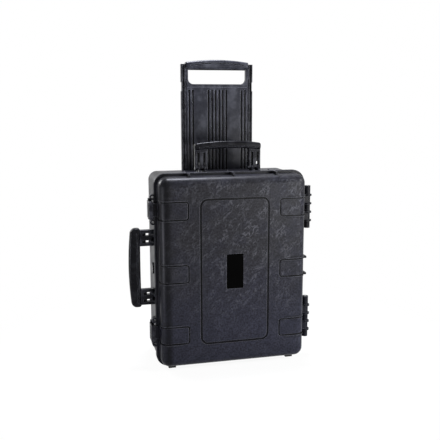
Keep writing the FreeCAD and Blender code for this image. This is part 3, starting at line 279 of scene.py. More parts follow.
def moulded_polypropylene(finish):
    """Shell plastic: black polypropylene from an injection mould with a pebbled grain.

    The grain lifts the black to charcoal. Handling has left pale slanting scuffs, and the pale edges are
    partly rubbed and partly a painted highlight, strongest on the flanges. The moulded lines hold painted
    shade, the hinges and a band along the lid's left rounding are darkened with painted shade, painted light
    leaves the shell darker to the left, and its cooler black low down is painted bluish light.
    """
    material, tree, shader, place = new_material("moulded_polypropylene")
    shader.inputs["IOR"].default_value = 1.49
    shader.inputs["Specular IOR Level"].default_value = 0.07
    soft, opened, rubbed_and_highlit = moulded_edges(tree, edge_mm=1.4, reach_mm=7.0, rub=0.7)
    slanted = add(tree, "ShaderNodeMapping", {
        "Vector": place, "Rotation": (0, SCUFF_SLANT, 0), "Scale": (1, 1, SCUFF_STRETCH)},
        vector_type="TEXTURE")
    spot = add(tree, "ShaderNodeSeparateXYZ", {"Vector": place}).outputs
    pattern = {}
    for name, (slants, size_mm, detail, roughness, distortion) in SHELL_PATTERNS.items():
        pattern[name] = add(tree, "ShaderNodeTexNoise", {
            "Vector": slanted.outputs[0] if slants else place, "Scale": 1 / (size_mm * MM), "Detail": detail,
            "Roughness": roughness, "Distortion": distortion}).outputs["Fac"]
    bands = {"line": (pattern["streak"], SCUFF_LEVEL, 0, SCUFF_WIDTH, 1, 0)}
    for name, (axis, middle, near, far, *values) in SHELL_BANDS.items():
        bands[name] = (spot[axis], middle * MM, near * MM, far * MM, *values)
    spans = {name: (pattern[source], *levels) for name, (source, *levels) in SHELL_SPREADS.items()}
    for name, (axis, start, end, *values) in SHELL_ZONES.items():
        spans[name] = (spot[axis], start * MM, end * MM, *values)
    for name, (source, middle, *levels) in bands.items():
        offset = add(tree, "ShaderNodeMath", {0: source, 1: middle}, operation="SUBTRACT")
        distance = add(tree, "ShaderNodeMath", {0: offset.outputs[0]}, operation="ABSOLUTE")
        spans[name] = (distance.outputs[0], *levels)
    share = {"rubbed_and_highlit": rubbed_and_highlit}
    for name, (source, start, end, low, high) in spans.items():
        span = add(tree, "ShaderNodeMapRange", {
            "Value": source, "From Min": start, "From Max": end, "To Min": low, "To Max": high})
        share[name] = span.outputs[0]
    for name, factors in SHELL_PRODUCTS.items():
        share[name] = share[factors[0]]
        for factor in factors[1:]:
            step = add(tree, "ShaderNodeMath", {0: share[name], 1: share[factor]}, operation="MULTIPLY")
            share[name] = step.outputs[0]
    # Pale where scuffed, and along edges, where rubbing and a painted highlight are one.
    worn = add(tree, "ShaderNodeMath", {0: share["scuff"], 1: share["edges"]}, operation="MAXIMUM")
    lit = add(tree, "ShaderNodeMath", {0: opened, 1: share["thin"]}, operation="MAXIMUM")
    # Painted bluish light low on the shell, mixed with random cloudy tone.
    ground = add(tree, "ShaderNodeMix", {
        MIX_FACTOR: share["warmth_and_painted_light"], MIX_FIRST: (*finish.shell_cool_tone_and_painted_light, 1), MIX_SECOND: (*finish.shell, 1)},
        data_type="RGBA")
    # Painted light and shade go into the grain's tone: darker hinges, a dark band on the left rounding, and a
    # darker left side.
    fleck = add(tree, "ShaderNodeMix", {
        MIX_FACTOR: share["tone_and_painted_shade"], MIX_FIRST: (*finish.shade, 1), MIX_SECOND: ground.outputs[MIX_RESULT]},
        data_type="RGBA")
    pale = add(tree, "ShaderNodeMix", {
        MIX_FACTOR: worn.outputs[0], MIX_FIRST: fleck.outputs[MIX_RESULT],
        MIX_SECOND: (*finish.shell_pale_scuffs_and_highlights, 1)}, data_type="RGBA")
    colour = add(tree, "ShaderNodeMix", {
        MIX_FACTOR: lit.outputs[0], MIX_FIRST: (*finish.shade, 1), MIX_SECOND: pale.outputs[MIX_RESULT]},
        data_type="RGBA")
    bump = add(tree, "ShaderNodeBump", {
        "Height": pattern["pebble"], "Strength": 0.22, "Distance": 0.4 * MM, "Normal": soft})
    connect(tree, shader, colour.outputs[MIX_RESULT], share["rough"], bump.outputs[0])
    return material


# Satin mouldings by record slot. Lengths are in millimetres: the grain, the rounding of the edges, the
# reach of the painted shade, and the height up to which a piece that slides into the case is darkened by
# a painted shadow low down. Wear is how strong the pale clouds are, and lip how much a rubbed edge gains
# as a painted highlight. The grain is about 0.3 mm on such pieces; it is drawn at 1.6 to 3 mm so that it
# shows.
SATIN_PLASTICS = {
    "fitting_plastic": dict(
        name="moulded_nylon", tint="fitting", roughness=0.26, specular=0.055, grain_mm=1.8, wear=0.25,
        edge_mm=1.2, lip=0.11, reach_mm=5.0, bare_mm=None),
    "grip_plastic": dict(
        name="moulded_abs_grip", tint="grip", roughness=0.26, specular=0.05, grain_mm=1.6, wear=0.1,
        edge_mm=1.8, lip=0.07, reach_mm=5.0, bare_mm=None),
    "trolley_plastic": dict(
        name="moulded_abs_panel", tint="trolley", roughness=0.3, specular=0.09, grain_mm=2.0, wear=0.2,
        edge_mm=1.6, lip=0.14, reach_mm=9.0, bare_mm=680),
    "plate_plastic": dict(
        name="matt_polycarbonate", tint="plate", roughness=0.6, specular=0.01, grain_mm=3.0, wear=0.0,
        edge_mm=0.5, lip=0.0, reach_mm=5.0, bare_mm=None),
}
# Rubbed edges of black plastic, partly wear and partly a painted highlight: how many times lighter they
# are, and their bluish cast in red, green and blue.
RUBBED_HIGHLIGHT_LIFT = 3
RUBBED_HIGHLIGHT_CAST = (0.93, 0.96, 1.12)
CLOUD_MM = 26
# A painted shadow darkens a sliding piece low down: it is full this far below its top height and gone this
# far above it, and where it is full this share of the colour is left.
SHADOW_FADE_BELOW_MM = 80
SHADOW_FADE_ABOVE_MM = 60
SHADOW_COLOUR_SHARE = 0.3


def satin_plastic(
        finish, name, tint, roughness, specular, grain_mm, wear, edge_mm, lip, reach_mm, bare_mm):
    """Moulded nylon, ABS or polycarbonate: a satin skin with a fine grain from the mould and cloudy gloss.

    Edges are rubbed paler and carry a painted highlight, moulded lines hold painted shade, and a piece that
    slides into the case is darkened low down, up to a height, by a painted shadow.
    """
    material, tree, shader, place = new_material(name)
    shader.inputs["IOR"].default_value = 1.52
    shader.inputs["Specular IOR Level"].default_value = specular
    soft, opened, rubbed_and_highlit = moulded_edges(tree, edge_mm, reach_mm, rub=0.9)
    grain = add(tree, "ShaderNodeTexNoise", {"Vector": place, "Scale": 1 / (grain_mm * MM), "Detail": 2.0})
    cloud = add(tree, "ShaderNodeTexNoise", {
        "Vector": place, "Scale": 1 / (CLOUD_MM * MM), "Detail": 5.0, "Roughness": 0.6})
    patch = add(tree, "ShaderNodeMapRange", {
        "Value": cloud.outputs["Fac"], "From Min": 0.46, "From Max": 0.7, "To Min": 0.0, "To Max": wear})
    worn = add(tree, "ShaderNodeMath", {0: patch.outputs[0], 1: rubbed_and_highlit}, operation="MAXIMUM")
    black = getattr(finish, tint)
    # Pale edge colour: rubbed plastic with a painted highlight, the lip adding a bluish grey.
    pale = [part * RUBBED_HIGHLIGHT_LIFT + lip * cast for part, cast in zip(black, RUBBED_HIGHLIGHT_CAST)]
    skin = add(tree, "ShaderNodeMix", {
        MIX_FACTOR: worn.outputs[0], MIX_FIRST: (*black, 1), MIX_SECOND: (*pale, 1)}, data_type="RGBA")
    colour = add(tree, "ShaderNodeMix", {
        MIX_FACTOR: opened, MIX_FIRST: (*finish.shade, 1), MIX_SECOND: skin.outputs[MIX_RESULT]},
        data_type="RGBA")
    # Painted shadow low on a sliding piece, where the case and the handle shade it.
    if bare_mm is not None:
        height = add(tree, "ShaderNodeSeparateXYZ", {"Vector": place}).outputs["Z"]
        clear_of_shadow = add(tree, "ShaderNodeMapRange", {
            "Value": height, "From Min": (bare_mm - SHADOW_FADE_BELOW_MM) * MM,
            "From Max": (bare_mm + SHADOW_FADE_ABOVE_MM) * MM, "To Min": SHADOW_COLOUR_SHARE, "To Max": 1.0})
        colour = add(tree, "ShaderNodeMix", {
            MIX_FACTOR: clear_of_shadow.outputs[0], MIX_FIRST: (*finish.shade, 1),
            MIX_SECOND: colour.outputs[MIX_RESULT]}, data_type="RGBA")
    rough = add(tree, "ShaderNodeMapRange", {
        "Value": cloud.outputs["Fac"], "From Min": 0.3, "From Max": 0.7,
        "To Min": roughness - 0.06, "To Max": roughness + 0.08})
    bump = add(tree, "ShaderNodeBump", {
        "Height": grain.outputs["Fac"], "Strength": 0.12, "Distance": 0.2 * MM, "Normal": soft})
    connect(tree, shader, colour.outputs[MIX_RESULT], rough.outputs[0], bump.outputs[0])
    return material


# Roughness of the rubbers by record slot.
RUBBERS = {"seal_rubber": 0.62, "foot_rubber": 0.7, "tyre_rubber": 0.66}
# Dust on rubber: size of its patches, how many times lighter they are and how much grey they add.
BLOOM_MM = 7
BLOOM_LIFT = 2.5
BLOOM_GREY = 0.015


def moulded_rubber(finish, name, roughness):
    """Moulded rubber: dull black with a dusty grey bloom and a soft, uneven skin."""
    material, tree, shader, place = new_material(name)
    shader.inputs["IOR"].default_value = 1.52
    shader.inputs["Specular IOR Level"].default_value = 0.16
    dust_and_painted_light = add(tree, "ShaderNodeTexNoise", {
        "Vector": place, "Scale": 1 / (BLOOM_MM * MM), "Detail": 6.0, "Roughness": 0.7})
    patch = add(tree, "ShaderNodeMapRange", {
        "Value": dust_and_painted_light.outputs["Fac"], "From Min": 0.45, "From Max": 0.75, "To Min": 0.0, "To Max": 0.5})
    pale = [part * BLOOM_LIFT + BLOOM_GREY for part in finish.rubber]
    colour = add(tree, "ShaderNodeMix", {
        MIX_FACTOR: patch.outputs[0], MIX_FIRST: (*finish.rubber, 1), MIX_SECOND: (*pale, 1)},
        data_type="RGBA")
    rough = add(tree, "ShaderNodeMapRange", {
        "Value": dust_and_painted_light.outputs["Fac"], "To Min": roughness - 0.08, "To Max": roughness + 0.1})
    bump = add(tree, "ShaderNodeBump", {"Height": dust_and_painted_light.outputs["Fac"], "Strength": 0.2, "Distance": 0.3 * MM})
    connect(tree, shader, colour.outputs[MIX_RESULT], rough.outputs[0], bump.outputs[0])
    return material


# Steels by record slot: name, colour among the finishes and roughness.
STEELS = {"pin_steel": ("drawn_steel", "steel", 0.3), "screw_steel": ("oxidised_steel", "black_steel", 0.38)}
# Lines from drawing are hundredths of a millimetre apart; they are drawn at 1.6 mm so that they show.
DRAWN_LINE_MM = 1.6
LINE_STRETCH = 6
LINE_DARK_SHARE = 0.7


def drawn_steel(finish, name, tint, roughness):
    """Drawn or oxidised steel: metal with fine lines round the pin and a patchy sheen."""
    material, tree, shader, place = new_material(name)
    shader.inputs["Metallic"].default_value = 1.0
    stretched = add(tree, "ShaderNodeMapping", {"Vector": place, "Scale": (1, 1, LINE_STRETCH)})
    lines = add(tree, "ShaderNodeTexNoise", {
        "Vector": stretched.outputs[0], "Scale": 1 / (DRAWN_LINE_MM * MM), "Detail": 3.0})
    bright = getattr(finish, tint)
    dark = [part * LINE_DARK_SHARE for part in bright]
    colour = add(tree, "ShaderNodeMix", {
        MIX_FACTOR: lines.outputs["Fac"], MIX_FIRST: (*dark, 1), MIX_SECOND: (*bright, 1)}, data_type="RGBA")
    rough = add(tree, "ShaderNodeMapRange", {
        "Value": lines.outputs["Fac"], "To Min": roughness - 0.08, "To Max": roughness + 0.12})
    bump = add(tree, "ShaderNodeBump", {
        "Height": lines.outputs["Fac"], "Strength": 0.1, "Distance": 0.1 * MM})
    connect(tree, shader, colour.outputs[MIX_RESULT], rough.outputs[0], bump.outputs[0])
    return material


def finishes(scene):
    """Materials by record slot, made once and kept on the scene."""
    finish = scene.case_finish
    if "case_shell_plastic" not in scene:
        scene["case_shell_plastic"] = moulded_polypropylene(finish)
        for slot, surface in SATIN_PLASTICS.items():
            scene["case_" + slot] = satin_plastic(finish, **surface)
        for slot, roughness in RUBBERS.items():
            scene["case_" + slot] = moulded_rubber(finish, "moulded_" + slot, roughness)
        for slot, surface in STEELS.items():
            scene["case_" + slot] = drawn_steel(finish, *surface)
    return {slot: scene["case_" + slot] for slot in ("shell_plastic", *SATIN_PLASTICS, *RUBBERS, *STEELS)}


# Slots of two pieces by the look of the object, where its record names another.
SEEN_SLOTS = {"trolley_grip": "trolley_plastic", "trolley_rails": "fitting_plastic"}


class CASE_OT_dress_nodes(bpy.types.Operator):
    """Give every piece of the frame the material of its slot."""

    bl_idname = "case.dress_nodes"
    bl_label = "Dress the frame"

    def execute(self, context):
        materials = finishes(context.scene)
        for part in frame["record"]["subparts"]:
            node = frame["nodes"][part["node"]]
            node.data.materials.clear()
            slot = SEEN_SLOTS.get(part["node"], part["material_slot"])
            node.data.materials.append(materials[slot])
        return {"FINISHED"}


def smooth_ramp(values, start, end):
    """Smooth ramp from zero at start to one at end, by three times the square less twice the cube."""
    share = np.clip((values - start) / (end - start), 0, 1)
    return share * share * (3 - 2 * share)


def node_points(name):
    """Corners of one of the frame's nodes, as an array."""
    mesh = frame["nodes"][name].data
    flat = np.empty(len(mesh.vertices) * 3)
    mesh.vertices.foreach_get("co", flat)
    return flat.reshape(-1, 3)


MERGE_MM = 0.002
SHARP_ANGLE = math.radians(40)


def make_piece(name, grids, closed_rows, body, slot, nodes):
    """Mesh of equal grids that close round their columns, and round their rows or with an end at each side.

    Each face joins two neighbouring rows and columns by index. Poles and seams are merged, open ends are
    filled, and the faces then turn outwards. The piece rides on a body and stands for the given nodes.
    """
    copies, rows, columns = grids.shape[:3]
    row = np.arange(rows if closed_rows else rows - 1)[:, None]
    column = np.arange(columns)[None]
    here = row * columns
    after = (row + 1) % rows * columns
    beside = (column + 1) % columns
    quads = np.stack((here + column, here + beside, after + beside, after + column), -1).reshape(-1, 4)
    faces = (quads[None] + (np.arange(copies) * rows * columns)[:, None, None]).reshape(-1, 4)
    mesh = bpy.data.meshes.new(name)
    mesh.from_pydata(grids.reshape(-1, 3).tolist(), [], faces.tolist())
    shell = bmesh.new()
    shell.from_mesh(mesh)
    bmesh.ops.remove_doubles(shell, verts=shell.verts, dist=MERGE_MM * MM)
    bmesh.ops.holes_fill(shell, edges=shell.edges, sides=0)
    bmesh.ops.recalc_face_normals(shell, faces=shell.faces)
    shell.to_mesh(mesh)
    shell.free()
    mesh.shade_smooth()
    mesh.set_sharp_from_angle(angle=SHARP_ANGLE)
    mesh.materials.append(finishes(bpy.context.scene)[slot])
    piece = bpy.data.objects.new(name, mesh)
    bpy.context.scene.collection.objects.link(piece)
    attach(piece, body)
    if nodes:
        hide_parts(*nodes)


def group_mids(values, gap):
    """Middles of the groups that values fall into, a new group starting after each gap."""
    ordered = np.sort(values)
    cuts = np.flatnonzero(np.diff(ordered) > gap)
    first = ordered[np.concatenate([[0], cuts + 1])]
    last = ordered[np.concatenate([cuts, [-1]])]
    return (first + last) / 2


# Steps from the middle to the rim of a screw's dome, and round it.
DOME_STEPS = 28
SCREW_TURN_STEPS = 72
# Fall of the dome as a share of the head's thickness, and distance between screws in radii of a head, at
# least.
DOME_FALL_SHARE = 0.25
SCREW_GAP_HEADS = 2.5
# A groove's wall goes from its edge to its floor between these shares of the groove's width from its
# middle.
GROOVE_EDGE_SHARE = 0.62
GROOVE_FLOOR_SHARE = 0.38
# The end of a cross's arm slopes over the last part of its reach.
ARM_END_SHARE = 0.85


def screw_grids(points, axis, sign, forms):
    """Screws of one group that face one way along an axis, as polar grids.

    A profile of radius and height is carried round each screw: a dome that falls with the square of the
    radius, the rim, the seat, the shank and its end. The cross is taken off the dome, by its depth times
    a ramp over the distance to the nearer arm and a ramp at the arms' ends.
    """
    points = points[points[:, axis] * sign > 0]
    reach = points[:, axis] * sign
    others = [index for index in range(3) if index != axis]
    mids = [group_mids(points[:, index], forms.head_radius * SCREW_GAP_HEADS) for index in others]
    spots = np.empty((len(mids[0]) * len(mids[1]), 3))
    spots[:, axis] = reach.max() * sign
    spots[:, others] = np.stack(np.meshgrid(*mids, indexing="ij"), -1).reshape(-1, 2)
    turn = np.linspace(0, FULL_TURN, SCREW_TURN_STEPS, endpoint=False)
    share = np.linspace(0, 1, DOME_STEPS)
    rim = forms.head_radius
    thin = forms.shank_radius
    seat = -forms.head_thick
    end = reach.min() - reach.max()
    radius = np.concatenate([share * rim, [rim, thin, thin, 0]])[:, None]
    height = np.concatenate([DOME_FALL_SHARE * seat * share ** 2, [seat, seat, end, end]])[:, None]
    sides = np.stack([radius * np.cos(turn), radius * np.sin(turn)])
    nearer = np.abs(sides).min(0)
    farther = np.abs(sides).max(0)
    arm = smooth_ramp(nearer, forms.recess_width * GROOVE_EDGE_SHARE, forms.recess_width * GROOVE_FLOOR_SHARE)
    tip = smooth_ramp(farther, forms.recess_reach, forms.recess_reach * ARM_END_SHARE)
    dome = np.arange(len(radius))[:, None] < DOME_STEPS
    local = np.empty((*sides.shape[1:], 3))
    local[..., others[0]] = sides[0]
    local[..., others[1]] = sides[1]
    local[..., axis] = (height - forms.recess_depth * arm * tip * dome) * sign
    return spots[:, None, None] + local


class CASE_OT_screws(bpy.types.Operator):
    """Make the pan-head screws of the trolley cover, the wheel housings and the trolley."""

    bl_idname = "case.screws"
    bl_label = "Screws"

    def execute(self, context):
        forms = context.scene.case_forms
        groups = (("cover_screws", "base", 1, (1,)), ("housing_screws", "base", 0, (-1, 1)),
                  ("trolley_screws", "trolley", 0, (-1, 1)))
        for node, body, axis, signs in groups:
            screws = np.concatenate([screw_grids(node_points(node), axis, sign, forms) for sign in signs])
            make_piece(node.replace("screws", "screw_heads"), screws, False, body, "screw_steel", [node])
        return {"FINISHED"}


def ring_grid(centre, places, radii):
    """Profile carried round an axle along X: places along it and radii about it, by profile step and turn."""
    turn = np.linspace(0, FULL_TURN, radii.shape[1], endpoint=False)
    spots = (centre[0] + places, centre[1] + radii * np.cos(turn), centre[2] + radii * np.sin(turn))
    return np.stack(np.broadcast_arrays(*spots), -1)[None]


# Steps of a tyre's profile, up a wall, round a shoulder and across the tread, and steps round the wheel.
WALL_STEPS = 24
SHOULDER_STEPS = 10
TREAD_STEPS = 56
TYRE_TURN_STEPS = 240
# Places on a tyre as shares of half its width: the grooves, and where the notches start and are full.
GROOVE_SHARE = 0.3
NOTCH_SHARES = (0.5, 0.58)
# Cosines between which a notch goes from rubber to floor, and the share of a shoulder over which the
# tread begins.
NOTCH_SPAN = (0.1, 0.5)
TREAD_START_SHARE = 0.6
# The ring in a wall: its place as a share of the wall's height, and how far it is drawn in.
WALL_RING_SHARE = 0.33
WALL_RING_DEPTH_SHARE = 0.06


def tyre_grid(low, high, inner, forms):
    """Tyre: a profile of two walls, two round shoulders and a flat tread, carried round the axle.

    From its radius the tread loses two grooves round the wheel, which are ramps about two places along
    the axle, and notches in the shoulders, which are ramps over the cosine of so many turns. Each wall is
    drawn in by a bell curve about a ring a third of the way up.
    """
    half = (high[0] - low[0]) / 2
    outer = (high[2] - low[2]) / 2
    edge = forms.tyre_edge
    bend = np.linspace(0, QUARTER_TURN, SHOULDER_STEPS)[1:-1]
    wall = np.linspace(inner, outer - edge, WALL_STEPS)
    tread = np.linspace(edge - half, half - edge, TREAD_STEPS)
    places = np.concatenate([
        np.full(WALL_STEPS, -half), edge - half - edge * np.cos(bend), tread,
        half - edge + edge * np.sin(bend), np.full(WALL_STEPS, half)])[:, None]
    radii = np.concatenate([
        wall, outer - edge + edge * np.sin(bend), np.full(TREAD_STEPS, outer),
        outer - edge + edge * np.cos(bend), wall[::-1]])[:, None]
    turn = np.linspace(0, FULL_TURN, TYRE_TURN_STEPS, endpoint=False)
    off_groove = np.abs(np.abs(places) - half * GROOVE_SHARE) / forms.tread_width
    groove = smooth_ramp(off_groove, GROOVE_EDGE_SHARE, GROOVE_FLOOR_SHARE)
    shoulder = smooth_ramp(np.abs(places), half * NOTCH_SHARES[0], half * NOTCH_SHARES[1])
    notch = smooth_ramp(np.cos(turn * forms.tread_notches), *NOTCH_SPAN) * shoulder
    worn = smooth_ramp(radii, outer - edge, outer - edge * TREAD_START_SHARE)
    drop = forms.tread_depth * np.maximum(groove, notch) * worn
    ring = np.exp(-((radii - inner - (outer - inner) * WALL_RING_SHARE) / forms.tread_depth) ** 2)
    return ring_grid((low + high) / 2, places * (1 - WALL_RING_DEPTH_SHARE * ring), radii - drop)


# Half of a hub's profile in millimetres, from the bore over the boss, the web and the rim: distance from
# the axle and place along it.
WEB_STEPS = 22
WEB_INNER_MM = 11.6
WEB_OUTER_MM = 18.6
WEB_HALF_MM = 6.0
HUB_RADII = np.concatenate([
    [4.3, 4.9, 9.2, 10.0, 10.0, 10.5], np.linspace(WEB_INNER_MM, WEB_OUTER_MM, WEB_STEPS),
    [19.6, 20.0, 20.0, 20.7, 23.2, 23.9]])
HUB_PLACES = np.concatenate([
    [16.4, 17.0, 17.0, 16.2, 8.0, 6.6], np.full(WEB_STEPS, WEB_HALF_MM), [6.4, 7.4, 12.2, 13.0, 13.0, 12.3]])
HUB_TURN_STEPS = 180
# A pocket's wall slopes over this width at the web's edges, and between these cosines beside a spoke.
POCKET_SLOPE_MM = 1.0
POCKET_SPAN = (0.55, 0.2)


def hub_grid(centre, forms):
    """Hub: half a profile and its mirror image, carried round the axle, with hollows between spokes.

    On the web each face sinks by the pocket's depth times a ramp over the cosine of so many turns and a
    ramp at the web's inner and outer edge.
    """
    radii = np.concatenate([HUB_RADII, HUB_RADII[::-1]])[:, None] * MM
    places = np.concatenate([HUB_PLACES, -HUB_PLACES[::-1]])[:, None] * MM
    turn = np.linspace(0, FULL_TURN, HUB_TURN_STEPS, endpoint=False)
    inside = smooth_ramp(radii, WEB_INNER_MM * MM, (WEB_INNER_MM + POCKET_SLOPE_MM) * MM)
    outside = smooth_ramp(radii, WEB_OUTER_MM * MM, (WEB_OUTER_MM - POCKET_SLOPE_MM) * MM)
    hollow = smooth_ramp(np.cos(turn * forms.spokes), *POCKET_SPAN)
    sunk = forms.pocket_depth * inside * outside * hollow
    return ring_grid(centre, places - np.sign(places) * sunk, radii + 0 * turn)


class CASE_OT_wheels(bpy.types.Operator):
    """Make both wheels: a treaded tyre and a spoked hub on each side."""

    bl_idname = "case.wheels"
    bl_label = "Wheels"

    def execute(self, context):
        forms = context.scene.case_forms
        for side in ("left", "right"):
            low, high = (np.array(corner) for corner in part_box("tyre_" + side))
            body = "wheel_" + side
            tyre = tyre_grid(low, high, HUB_RADII.max() * MM, forms)
            make_piece("tread_" + side, tyre, True, body, "tyre_rubber", ["tyre_" + side])
            hub = hub_grid((low + high) / 2, forms)
            make_piece("spokes_" + side, hub, True, body, "fitting_plastic", ["hub_" + side])
        return {"FINISHED"}


# A latch lever in millimetres: radius of its hub, thickness of its plate, distance of its claw's tip from
# the hub's side, and thickness of that claw.
LEVER_HUB_MM = 6
LEVER_PLATE_MM = 5
LEVER_TIP_MM = 2.4
LEVER_CLAW_MM = 8
# Steps up the outer face, round the hub, down the inner face, along the claw, round its end and along the
# nose.
FACE_STEPS = 70
LEVER_HUB_STEPS = 60
BACK_STEPS = 50
CLAW_STEPS = 16
NOSE_STEPS = 22
# Angle at which the hub meets the inner face, and how far below the hub's middle that face starts, in hub
# radii.
HUB_END_TURN = -0.66 * np.pi
BACK_START_SHARE = 0.87
# Neighbouring points on each side that the running mean takes in.
MEAN_REACH = 2


def lever_profile(front, outside, right, back):
    """Closed outline of a latch lever seen along its pin, as X and Y of evenly taken points.

    It goes up the outer face, round the hub by its angle, down the inner face and round the claw; a
    running mean over neighbouring points rounds the corners.
    """
    radius = LEVER_HUB_MM * MM
    hub_x = right - radius
    hub_y = back - radius
    inside = outside + LEVER_PLATE_MM * MM
    tip = right - LEVER_TIP_MM * MM
    claw = front + LEVER_CLAW_MM * MM
    turn = np.linspace(np.pi, HUB_END_TURN, LEVER_HUB_STEPS)
    outline = np.concatenate([
        np.linspace((outside, front), (outside, hub_y), FACE_STEPS),
        np.stack([hub_x + radius * np.cos(turn), hub_y + radius * np.sin(turn)], -1),
        np.linspace((inside, hub_y - radius * BACK_START_SHARE), (inside, claw), BACK_STEPS),
        np.linspace((inside, claw), (tip, claw), CLAW_STEPS),
        np.linspace((tip, claw), (tip, front), CLAW_STEPS),
        np.linspace((tip, front), (outside, front), NOSE_STEPS)])
    steps = np.arange(-MEAN_REACH, MEAN_REACH + 1)[:, None]
    return outline[(np.arange(len(outline)) + steps) % len(outline)].mean(0)


LEVER_END_STEPS = 7
LEVER_LENGTH_STEPS = 40
# Ridges in millimetres: where they start behind the lever's front, over what length they fade in and out,
# and how near to the outer face a point has to be to carry them in full and in part.
RIDGE_COUNT = 5
RIDGE_START_MM = 4
RIDGE_FADE_MM = 2
RIDGE_NEAR_MM = 0.6
RIDGE_FAR_MM = 1.2
# Shares of the lever's length, from its middle, up to which the ridges are full and at which they end.
RIDGE_FULL_SHARE = 0.36
RIDGE_END_SHARE = 0.42


def lever_grid(low, high, forms):
    """Latch lever: its outline carried along the pin, drawn in at both ends and ridged on its outer face.

    Near an end each point moves inwards along the outline's normal by the rise of a quarter circle. The
    ridges are a cosine along the front half of the outer face, faded out towards both ends.
    """
    outline = lever_profile(low[1], low[0], high[0], high[1])
    ahead = np.roll(outline, -1, 0) - np.roll(outline, 1, 0)
    normal = np.stack([-ahead[:, 1], ahead[:, 0]], -1) / np.linalg.norm(ahead, axis=1)[:, None]
    inward = normal * np.sign(((outline.mean(0) - outline) * normal).sum())
    edge = forms.lever_edge
    bend = np.linspace(0, QUARTER_TURN, LEVER_END_STEPS)
    straight = np.linspace(low[2] + edge, high[2] - edge, LEVER_LENGTH_STEPS)[1:-1]
    levels = np.concatenate([
        low[2] + edge * (1 - np.cos(bend)), straight, high[2] - edge * (1 - np.cos(bend[::-1]))])
    depth = np.concatenate([
        edge * (1 - np.sin(bend)), np.zeros(len(straight)), edge * (1 - np.sin(bend[::-1]))])
    spots = outline[None] + inward[None] * depth[:, None, None]
    x = spots[..., 0]
    y = spots[..., 1]
    outer = smooth_ramp(x, low[0] + RIDGE_FAR_MM * MM, low[0] + RIDGE_NEAR_MM * MM)
    start = low[1] + RIDGE_START_MM * MM
    last = start + RIDGE_COUNT * forms.ridge_spacing
    fade = RIDGE_FADE_MM * MM
    stretch = smooth_ramp(y, start, start + fade) * smooth_ramp(y, last, last - fade)
    off_middle = np.abs(levels - (low[2] + high[2]) / 2) / (high[2] - low[2])
    wide = smooth_ramp(off_middle, RIDGE_END_SHARE, RIDGE_FULL_SHARE)[:, None]
    wave = 0.5 - 0.5 * np.cos((y - start) * FULL_TURN / forms.ridge_spacing)
    x = x + forms.ridge_depth * wave * outer * stretch * wide
    return np.stack(np.broadcast_arrays(x, y, levels[:, None]), -1)[None]


class CASE_OT_latches(bpy.types.Operator):
    """Make both latch levers, with rounded ends and finger ridges."""

    bl_idname = "case.latches"
    bl_label = "Latch levers"

    def execute(self, context):
        for node in ("latch_upper", "latch_lower"):
            low, high = (np.array(corner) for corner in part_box(node))
            lever = lever_grid(low, high, context.scene.case_forms)
            make_piece(node + "_lever", lever, False, node, "fitting_plastic", [node])
        return {"FINISHED"}


# Lug webs in millimetres: where they start along Y and how long they are, how deep they stand in the
# wall, and how far the flange's edge is above that wall.
WEB_FRONT_MM = -56.8
WEB_LENGTH_MM = 27
WEB_FOOT_MM = -2
FLANGE_RISE_MM = 9
WEB_LENGTH_STEPS = 28
WEB_TURN_STEPS = 40
# Lugs of the top handle along X and of the side handle along Z, their height above the wall, and where
# the wall is.
TOP_LUGS_MM = (-88.5, -71.5, 71.5, 88.5)
TOP_LUG_RISE_MM = 23
TOP_WALL_MM = 562
SIDE_LUGS_MM = (197, 218, 372, 393)
SIDE_LUG_RISE_MM = 18
SIDE_WALL_MM = -215


def web_grids(lugs_mm, lug_rise_mm, forms):
    """Webs between the flange and a carry handle's lugs: places across, along Y and away from the wall.

    A cross-section with rounded corners, whose two sides are the square roots of a cosine and a sine, is
    carried back from the flange. Its top climbs from the flange to the lug by one less the cosine of a
    quarter turn.
    """
    share = np.linspace(0, 1, WEB_LENGTH_STEPS)[:, None]
    turn = np.linspace(0, FULL_TURN, WEB_TURN_STEPS, endpoint=False)
    along = WEB_FRONT_MM * MM + share * WEB_LENGTH_MM * MM
    foot = WEB_FOOT_MM * MM
    start = FLANGE_RISE_MM * MM + forms.web_rise
    top = start + (lug_rise_mm * MM - start) * (1 - np.cos(share * QUARTER_TURN))
    wide = np.sign(np.cos(turn)) * np.sqrt(np.abs(np.cos(turn))) * forms.web_thick / 2
    up = np.sign(np.sin(turn)) * np.sqrt(np.abs(np.sin(turn)))
    away = (top + foot) / 2 + (top - foot) / 2 * up
    grid = np.stack(np.broadcast_arrays(wide, along, away), -1)
    return np.array([[lug, 0, 0] for lug in lugs_mm])[:, None, None] * MM + grid


class CASE_OT_lug_webs(bpy.types.Operator):
    """Make the webs that brace the carry handles' lugs against the flange."""

    bl_idname = "case.lug_webs"
    bl_label = "Lug webs"

    def execute(self, context):
        forms = context.scene.case_forms
        top = web_grids(TOP_LUGS_MM, TOP_LUG_RISE_MM, forms) + (0, 0, TOP_WALL_MM * MM)
        make_piece("top_lug_webs", top, False, "base", "shell_plastic", [])
        side = web_grids(SIDE_LUGS_MM, SIDE_LUG_RISE_MM, forms)
        turned = np.stack([SIDE_WALL_MM * MM - side[..., 2], side[..., 1], side[..., 0]], -1)
        make_piece("side_lug_webs", turned, False, "base", "shell_plastic", [])
        return {"FINISHED"}


WHITE = "#FFFFFF"
COOL_WHITE = "#F1F3FF"
CASE_MIDDLE = (0, 0, 0.4)
